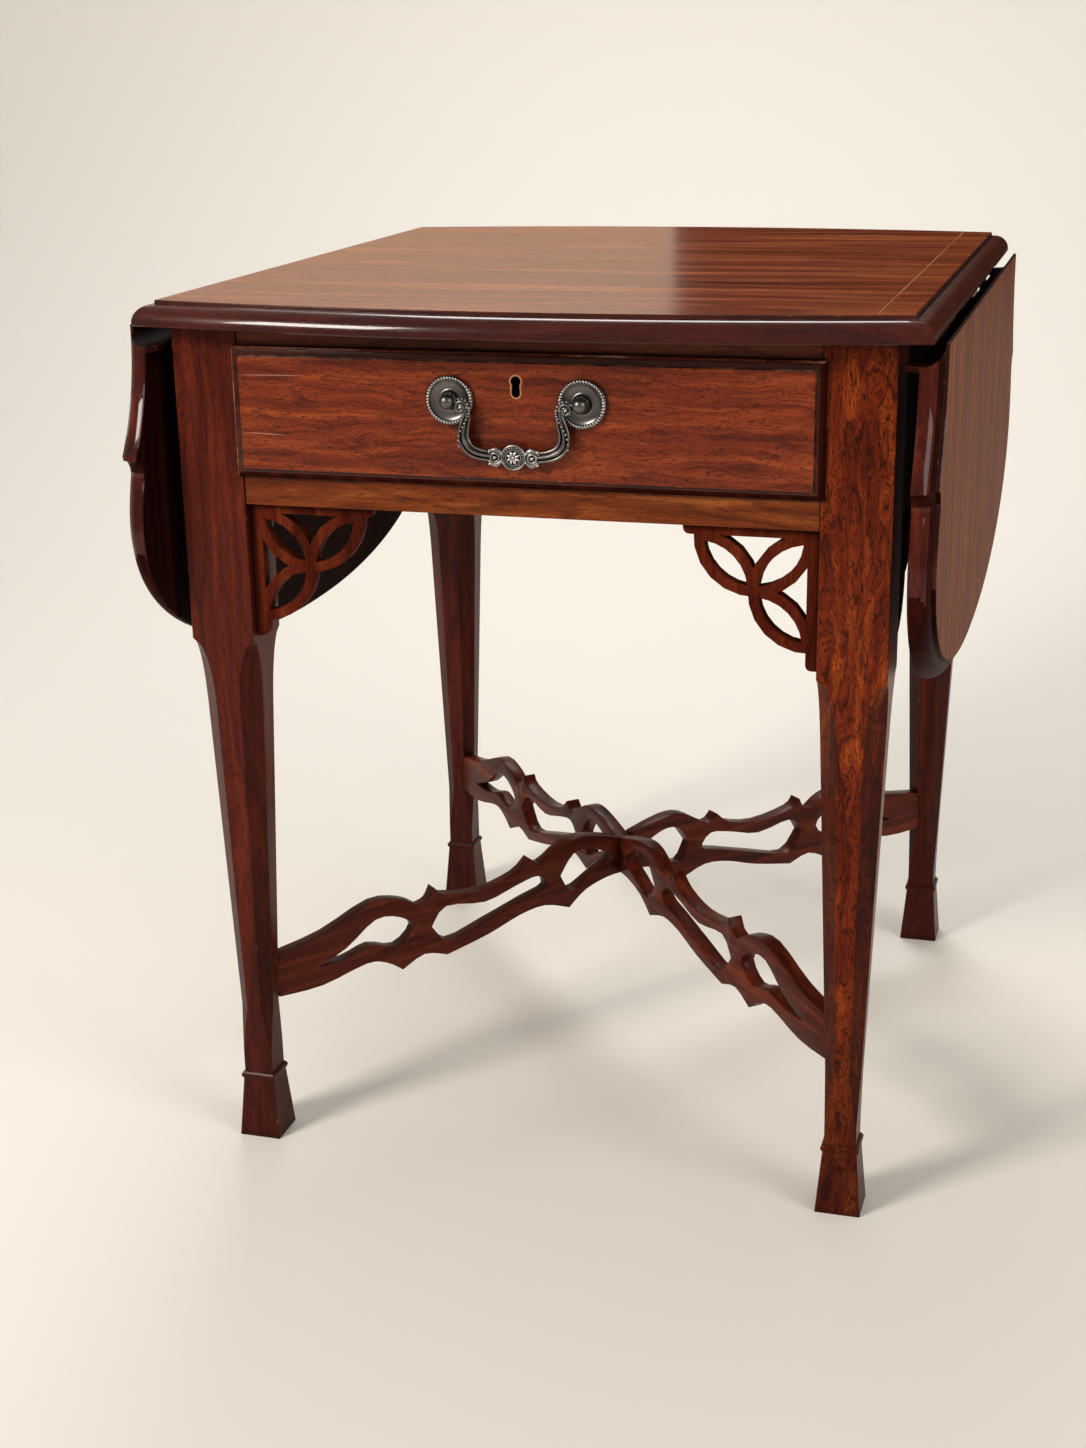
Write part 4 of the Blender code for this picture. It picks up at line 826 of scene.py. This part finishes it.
# turned posts: shaft, collar, ball knob, nut inside the drawer; (radius, distance before the face) in mm
pullPost = {"shaft": ((1.2, -30.0), (3.1, -29.6), (3.1, 0.4), (4.6, 0.9), (4.6, 1.6), (3.7, 2.1), (3.4, 2.7)),
            "knob": 5.6, "knobOut": 7.5, "knobFrom": -0.9, "knobTo": pi / 2 - 0.02, "knobSteps": 12,
            "around": 32, "nut": 6.3, "nutThick": 3.6, "nutEase": 0.6, "nutEnd": 0.82, "smooth": 50}


def makePullPost(word, plan):
    x, z, face = pullSeat(word)
    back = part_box("pull_post_" + word)[1][1]
    profile = [(r, max(h, (face - back) / mm)) for r, h in plan["shaft"]]
    for k in range(plan["knobSteps"] + 1):
        lift = plan["knobFrom"] + (plan["knobTo"] - plan["knobFrom"]) * k / plan["knobSteps"]
        profile.append((plan["knob"] * cos(lift), plan["knobOut"] + plan["knob"] * sin(lift)))
    bm = bmesh.new()
    joinRings(bm, [frontRing(x, face - h * mm, z, r * mm, plan["around"]) for r, h in profile])
    # hexagon nut with eased corners behind the drawer front
    thick, ease, end = plan["nutThick"], plan["nutEase"], plan["nutEnd"]
    joinRings(bm, [frontRing(x, back - on * mm, z, plan["nut"] * share * mm, 6)
                   for share, on in ((end, 0.0), (1.0, ease), (1.0, thick - ease), (end, thick))])
    newPiece("pullPost" + word.title(), bm, pewter, "drawer", "pull_post_" + word,
             plan["smooth"])


# cast bail: scrolled ends, beaded and reeded arms, flower boss between leaf scrolls. All in mm, the arm and
# scroll from the left post's centre, a curl's turns in radians.
bail = {"stand": 7.5, "drop": 37.5, "steps": 6, "smooth": 60,
        "arm": ((14.2, -4.0), (14.5, -7.0), (14.0, -10.8), (12.4, -16.6), (11.4, -22.2), (12.2, -27.8),
                (15.6, -32.6), (21.4, -35.6), (29.0, -37.0), (37.5, -37.5)),
        "core": (1.1, 1.1, 1.15, 1.25, 1.35, 1.4, 1.4, 1.35, 1.3, 1.2), "coreOut": 0.5,
        "reedOut": (1.3, 1.7, 2.3, 2.8, 3.2, 3.3, 3.3, 3.2, 3.0, 2.6), "reed": 1.0, "reedFront": 0.2,
        "bed": 0.85, "bedBack": 1.6, "sides": 12,
        "scroll": ((10.0, -3.6), (4.9, 1.3), 1.35, 1.05, 40),  # centre, radii, turns, thickness, steps
        "eye": 1.25, "pin": ((0.6, 0.0, 1.5), (3.0, 0.0, 1.5), (6.4, 0.0, 1.5), (8.0, -0.4, 1.3)),
        "collar": 6.7, "collarSize": (0.8, 2.0, 2.0),
        "crown": (5, 1.75, 1.3),  # beads, first turn, how far outside the scroll
        "beads": 16, "bead": 0.95, "beadOut": 1.2, "beadFront": 2.0, "beadReach": 0.56,
        "hub": (4.4, 0.4), "hubRing": (3.0, 1.0), "hubEye": 1.6,
        "curls": ((1, 5.3, 1.35), (-1, 4.9, 1.1)), "curlTurn": (0.2, 2.5, 16),
        "curlBeads": ((4.6, 3.0), (-3.8, 4.6)), "curlTip": (0.6, 1.2), "tipSize": (1.7, 1.0, 0.9)}
# its flower boss; radii as shares of the boss, depths as shares of its thickness
bossPlan = {"radius": 9.1, "thick": 2.6, "around": 48, "face": 0.62,
            "turned": ((0.25, 1.0), (0.9, 1.0), (1.0, 0.5), (1.0, -0.4), (0.93, -0.8), (0.80, -0.55),
                       (0.62, -0.5), (0.2, -0.7)),
            "rims": ((0.92, 0.75, 48, 8), (0.60, 0.35, 36, 6)), "beads": 22, "beadAt": 0.76, "bead": 0.62,
            "petals": 8, "petal": ((1.4, 0.5, 0.7), (2.6, 0.75, 1.15), (3.8, 0.45, 1.15), (4.5, 0.0, 0.7)),
            "button": 1.5, "buttonOut": 0.5}


def bailSide(bm, plan, side, half, axisY, z0):
    def at(u, w, out=0.0):
        return Vector((side * (half - u * mm), axisY - out * mm, z0 + w * mm))

    line = smoothLine(plan["arm"], plan["steps"])
    cores = [v[0] for v in smoothLine([(c,) for c in plan["core"]], plan["steps"])]
    outs = [v[0] for v in smoothLine([(c,) for c in plan["reedOut"]], plan["steps"])]
    tube(bm, [at(u, w, plan["coreOut"]) for u, w in line], [c * mm for c in cores], plan["sides"])
    # bed behind the reeds, the floor of the grooves
    bed = [at(u, w, -plan["bedBack"]) for u, w in line]
    tube(bm, bed, [o * plan["bed"] * mm for o in outs], plan["sides"])
    normals = []
    for i in range(len(line)):
        a, b = line[max(i - 1, 0)], line[min(i + 1, len(line) - 1)]
        long = sqrt((b[0] - a[0]) ** 2 + (b[1] - a[1]) ** 2)
        normals.append(((b[1] - a[1]) / long, -(b[0] - a[0]) / long))
    for hand in (-1, 1):
        reed = [at(u + hand * n[0] * o, w + hand * n[1] * o, plan["reedFront"])
                for (u, w), n, o in zip(line, normals, outs)]
        tube(bm, reed, [plan["reed"] * mm * (0.6 + 0.4 * c / 1.4) for c in cores])
    # scroll from the arm over the top towards the post
    (cu, cw), (wide, small), turns, wire, count = plan["scroll"]
    spiral, thick = [], []
    for k in range(count + 1):
        share = k / count
        turn = share * turns * 2 * pi
        r = wide + (small - wide) * share ** 0.8
        spiral.append(at(cu + r * cos(turn), cw + r * sin(turn), 0.6 + 0.6 * share))
        thick.append(wire * (1.15 - 0.35 * share) * mm)
    tube(bm, spiral, thick)
    ball(bm, at(cu, cw, 1.2), plan["eye"] * mm)
    # pivot pin into the post, with a small collar
    tube(bm, [at(u, w) for u, w, _ in plan["pin"]], [r * mm for _, _, r in plan["pin"]], plan["sides"])
    ball(bm, at(plan["collar"], 0.0), tuple(r * mm for r in plan["collarSize"]))
    # bead row: from the scroll's crown down the arm, crossing to its outer side
    count, first, out = plan["crown"]
    turns = [first - first * k / (count - 1) for k in range(count)]
    row = [(cu + (wide + out) * cos(t), cw + (wide + out) * sin(t)) for t in turns]
    down = plan["beads"] - count
    for k in range(down):
        i = int(round(1 + k * (len(line) * plan["beadReach"] - 1) / (down - 1)))
        offset = -(outs[i] + plan["beadOut"]) * (1 - 2 * k / (down - 1))
        row.append((line[i][0] + normals[i][0] * offset, line[i][1] + normals[i][1] * offset))
    for u, w in row:
        ball(bm, at(u, w, plan["beadFront"]), plan["bead"] * mm, 10, 5)
    # leaf scrolls beside the boss: an eye in a ring, a curled leaf above, a smaller one below
    inward, lower = plan["hub"]
    hub, middle = half / mm - bossPlan["radius"] - inward, -plan["drop"] - lower
    radius, wire = plan["hubRing"]
    hoop(bm, at(hub, middle, 1.3), radius * mm, wire * mm, 28, 8)
    ball(bm, at(hub, middle, 1.5), plan["hubEye"] * mm)
    start, sweep, count = plan["curlTurn"]
    turns = [start + sweep * k / count for k in range(count + 1)]
    for flip, reach, fat in plan["curls"]:
        curl = [at(hub + reach * cos(t), middle + flip * reach * sin(t), 0.9) for t in turns]
        tube(bm, curl, [(0.6 + fat * sin(pi * k / count) ** 0.7) * mm for k in range(count + 1)])
        for u, w in plan["curlBeads"]:
            ball(bm, at(hub + u, middle + flip * w, 1.0), fat * mm)
        u, w = plan["curlTip"]
        ball(bm, at(hub + u, middle + flip * (reach + w), 1.3), tuple(r * mm for r in plan["tipSize"]))


def flowerBoss(bm, plan, y, z):
    r, t = plan["radius"], plan["thick"]
    joinRings(bm, [frontRing(0.0, y + deep * t * mm, z, share * r * mm, plan["around"])
                   for share, deep in plan["turned"]])
    front = y - t * plan["face"] * mm
    for share, wire, around, sides in plan["rims"]:
        hoop(bm, (0, front, z), r * share * mm, wire * mm, around, sides)
    for centre in frontRing(0.0, front, z, r * plan["beadAt"] * mm, plan["beads"]):
        ball(bm, centre, plan["bead"] * mm, 8, 5)
    for k in range(plan["petals"]):
        turn = 2 * pi * (k + 0.5) / plan["petals"]
        stem = [(q * mm * cos(turn), front - out * mm, z + q * mm * sin(turn)) for q, out, _ in plan["petal"]]
        tube(bm, stem, [thick * mm for _, _, thick in plan["petal"]], 8)
    ball(bm, (0, front - plan["buttonOut"] * mm, z), plan["button"] * mm)


def makeBail(plan):
    x, z0, face = pullSeat("left")
    axisY = face - plan["stand"] * mm
    bm = bmesh.new()
    for side in (-1, 1):
        bailSide(bm, plan, side, -x, axisY, z0)
    flowerBoss(bm, bossPlan, axisY, z0 - plan["drop"] * mm)
    newPiece("bailHandle", bm, pewter, "bail", "bail_handle", plan["smooth"])


for word in ("left", "right"):
    makeRosette(word, rosette)
    makePullPost(word, pullPost)
makeBail(bail)
print("pull cast")

# Boxwood stringing: sawn strips let in flush and polished with the top. A thin pale line, amber with age.
stringing = {"across": 247.5, "width": 1.1, "depth": 0.3, "proud": 0.05, "endY": 287.5, "stop": 11.0}
boxwood = polishedWood("boxwood stringing", {
    "axis": 1, "ribbon": (90, 2.5), "wander": 1, "lineDepth": 0.1, "pores": (4, 0.7), "poreDepth": 0.25,
    "tones": ("#7d5223", "#b07a3a", "#cf9a55"), "veinAndShade": "#4a2a10", "wornAndHighlight": "#d8ae73", "gloss": 0.28})


def makeStringing(plan):
    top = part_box("table_top")[1][2]
    low, high = top - plan["depth"] * mm, top + plan["proud"] * mm
    for word, side in (("Left", -1), ("Right", 1)):
        rings = []
        for u in (-plan["width"] / 2, plan["width"] / 2):
            x = side * plan["across"] + u
            end = (plan["endY"] + bowAt(tableTop, x) - plan["stop"]) * mm
            rings.append([(x * mm, y, z) for y, z in ((-end, low), (end, low), (end, high), (-end, high))])
        bm = bmesh.new()
        joinRings(bm, rings)
        newPiece("stringing" + word, bm, boxwood, "frame", None, 30)


makeStringing(stringing)
print("stringing let in")

# slotted countersunk screws, one mesh for each fitting; mm, turns in radians
screw = {"head": 2.7, "proud": 0.35, "slot": 0.7, "slotDeep": 0.45, "around": 20, "half": 10, "sunk": 0.5,
         "baseSunk": 0.6, "baseShare": 0.98, "crown": 0.93, "nextTurn": 1.1, "smooth": 35,
         "hingeFar": (7, 21), "hingeOff": (-13, 13), "plateThick": 2.0, "lockIn": 5, "lockDown": 7}


def makeScrews(name, centres, outward, body, plan, turnStart=0.4):
    # each head is two half discs with the slot between them, on a lower disc
    outward = Vector(outward)
    side = outward.orthogonal().normalized()
    r, gap, proud = plan["head"] * mm, plan["slot"] / 2 * mm, plan["proud"]
    floor = (proud - plan["slotDeep"]) * mm
    start = gap / r
    turns = fullTurn(plan["around"])
    halfTurns = [start + (pi - 2 * start) * k / plan["half"] for k in range(plan["half"] + 1)]
    bm = bmesh.new()
    for n, centre in enumerate(centres):
        u = Matrix.Rotation(turnStart + plan["nextTurn"] * n, 3, outward) @ side
        v = outward.cross(u)
        centre = Vector(centre)
        share = plan["baseShare"]
        base = [centre + u * r * share * cos(t) + v * r * share * sin(t) for t in turns]
        under = outward * plan["baseSunk"] * mm
        joinRings(bm, [[p - under for p in base], [p + outward * floor for p in base]])
        for hand in (-1, 1):
            arc = [u * r * cos(t) + v * hand * r * sin(t) for t in halfTurns]
            rings = []
            for share, lift in ((1.0, -plan["sunk"]), (1.0, proud * 0.6), (plan["crown"], proud)):
                rings.append([centre + p * share + outward * lift * mm + v * hand * gap * (1 - share)
                              for p in arc])
            joinRings(bm, rings)
    newPiece(name, bm, iron, body, None, plan["smooth"])


def driveScrews(plan):
    thick = plan["plateThick"] * mm
    spread = [(far * mm, off * mm) for far in plan["hingeFar"] for off in plan["hingeOff"]]
    for word, side in (("left", -1), ("right", 1)):
        for place in ("front", "back"):
            low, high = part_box("hinge_%s_%s_plate" % (word, place))
            y = (low[1] + high[1]) / 2
            inner = high[0] if side < 0 else low[0]
            spots = [(inner + side * far, y + off, high[2] - thick) for far, off in spread]
            makeScrews("screwsPlate_%s_%s" % (word, place), spots, (0, 0, -1), "frame", plan)
            low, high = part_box("hinge_%s_%s_flap" % (word, place))
            face = high[0] - thick if side > 0 else low[0] + thick
            spots = [(face, y + off, low[2] + far) for far, off in spread]
            makeScrews("screwsFlap_%s_%s" % (word, place), spots, (-side, 0, 0), "leaf_" + word, plan, 0.9)
    low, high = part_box("lock_case")
    edge = plan["lockIn"] * mm
    spots = [(x, high[1], z) for x in (low[0] + edge, high[0] - edge)
             for z in (low[2] + edge, high[2] - plan["lockDown"] * mm)]
    makeScrews("screwsLock", spots, (0, 1, 0), "drawer", plan)


driveScrews(screw)
print("screws driven")

# plain pale sweep: floor, curve and wall in one sheet; metres, lamps in watts
studio = {"floor": "#e9e5de", "world": "#f4f1ec", "worldLevel": 0.42, "front": -9.0, "back": 2.2, "bend": 1.0,
          "bendSteps": 12, "wall": 4.0, "half": 8.0, "fade": (3.5, 8.0),
          "paint": (40, 3.0, (0.80, 0.95)), "weave": (3, 2.0, (0.9, 1.0)),  # grain in mm, detail, roughness
          "cards": (("darkCard", (-0.32, 2.2), (0.5, 1.8), "#1c140f"),
                    ("warmCard", (-2.6, -0.33), (0.5, 0.95), "#e2c6a6")), "cardBack": 1.6,
          "lamps": (("keyLamp", (-1.6, -2.2, 1.95), 0.75, 62, "#fff8f0"),
                    ("fillLamp", (2.3, -1.3, 1.7), 1.2, 24, "#fffaf5"),
                    ("backLamp", (-0.5, 1.7, 2.4), 1.2, 32, "#ffffff")), "aim": (0, 0, 0.4)}


def mattSheet(name, size, detail, rough, shade):
    # painted or woven, without gloss: the grain, in mm, shows only in how dull it is
    made, add, shader = newMaterial(name)
    place = add("TexCoord", out="Object")
    noise = add("TexNoise", {"Scale": 1000 / size, "Detail": detail}, {"Vector": place})
    dull = add("MapRange", {"To": rough}, {"Value": noise})
    feed(shader, {"Roughness": dull})
    shader.inputs["Base Color"].default_value = hexColour(shade)
    return made, add, shader, place


def makeSweep(plan):
    bend = plan["bend"]
    line = [(plan["front"], 0.0), (plan["back"] - bend, 0.0)]
    for turn in quarterTurn(plan["bendSteps"])[1:]:
        line.append((plan["back"] - bend + bend * sin(turn), bend * (1 - cos(turn))))
    line.append((plan["back"], plan["wall"]))
    bm = bmesh.new()
    rows = [[bm.verts.new((side * plan["half"], y, z)) for side in (-1, 1)] for y, z in line]
    for low, high in zip(rows, rows[1:]):
        bm.faces.new((low[0], low[1], high[1], high[0])).smooth = True
    sweep = meshObject("paleSweep", bm)
    made, add, shader, place = mattSheet("matt painted sweep", *plan["paint"], plan["floor"])
    shader.inputs["Specular IOR Level"].default_value = 0.1
    # the sheet has no back, so that the table is seen from behind too, and far off it fades into the sky
    far = add("VectorMath LENGTH", {}, {0: place}, "Value")
    far = add("MapRange", {"interpolation_type": "SMOOTHSTEP", "From": plan["fade"]}, {"Value": far})
    behind = add("NewGeometry", out="Backfacing")
    clear = add("Math MAXIMUM", {}, {0: behind, 1: far})
    nothing = add("BsdfTransparent")
    sheet = add("MixShader", {}, {0: clear, 1: shader.outputs[0], 2: nothing})
    feed(made.node_tree.nodes["Material Output"], {"Surface": sheet})
    sweep.data.materials.append(made)


def makeStudio(plan):
    makeSweep(plan)
    # cloth cards, seen only as reflections in the polish, so that the top doesn't mirror all white
    y = plan["cardBack"]
    for name, (x0, x1), (z0, z1), shade in plan["cards"]:
        cloth = bpy.data.meshes.new(name)
        cloth.from_pydata([(x0, y, z0), (x1, y, z0), (x1, y, z1), (x0, y, z1)], [], [(0, 1, 2, 3)])
        card = bpy.data.objects.new(name, cloth)
        card.visible_camera = card.visible_diffuse = card.visible_shadow = False
        scene.collection.objects.link(card)
        cloth.materials.append(mattSheet("woven card cloth " + name, *plan["weave"], shade)[0])
    for name, place, size, power, tint in plan["lamps"]:
        lamp = bpy.data.lights.new(name, "AREA")
        lamp.size = size
        lamp.energy = power
        lamp.color = hexColour(tint)[:3]
        holder = bpy.data.objects.new(name, lamp)
        holder.location = place
        holder.rotation_euler = (Vector(plan["aim"]) - Vector(place)).to_track_quat("-Z", "Y").to_euler()
        scene.collection.objects.link(holder)
    world = bpy.data.worlds.new("softSky")
    scene.world = world
    world.use_nodes = True
    sky = world.node_tree.nodes["Background"]
    sky.inputs["Color"].default_value = hexColour(plan["world"])
    sky.inputs["Strength"].default_value = plan["worldLevel"]


makeStudio(studio)
scene.view_settings.view_transform = "Standard"
print("studio lit")
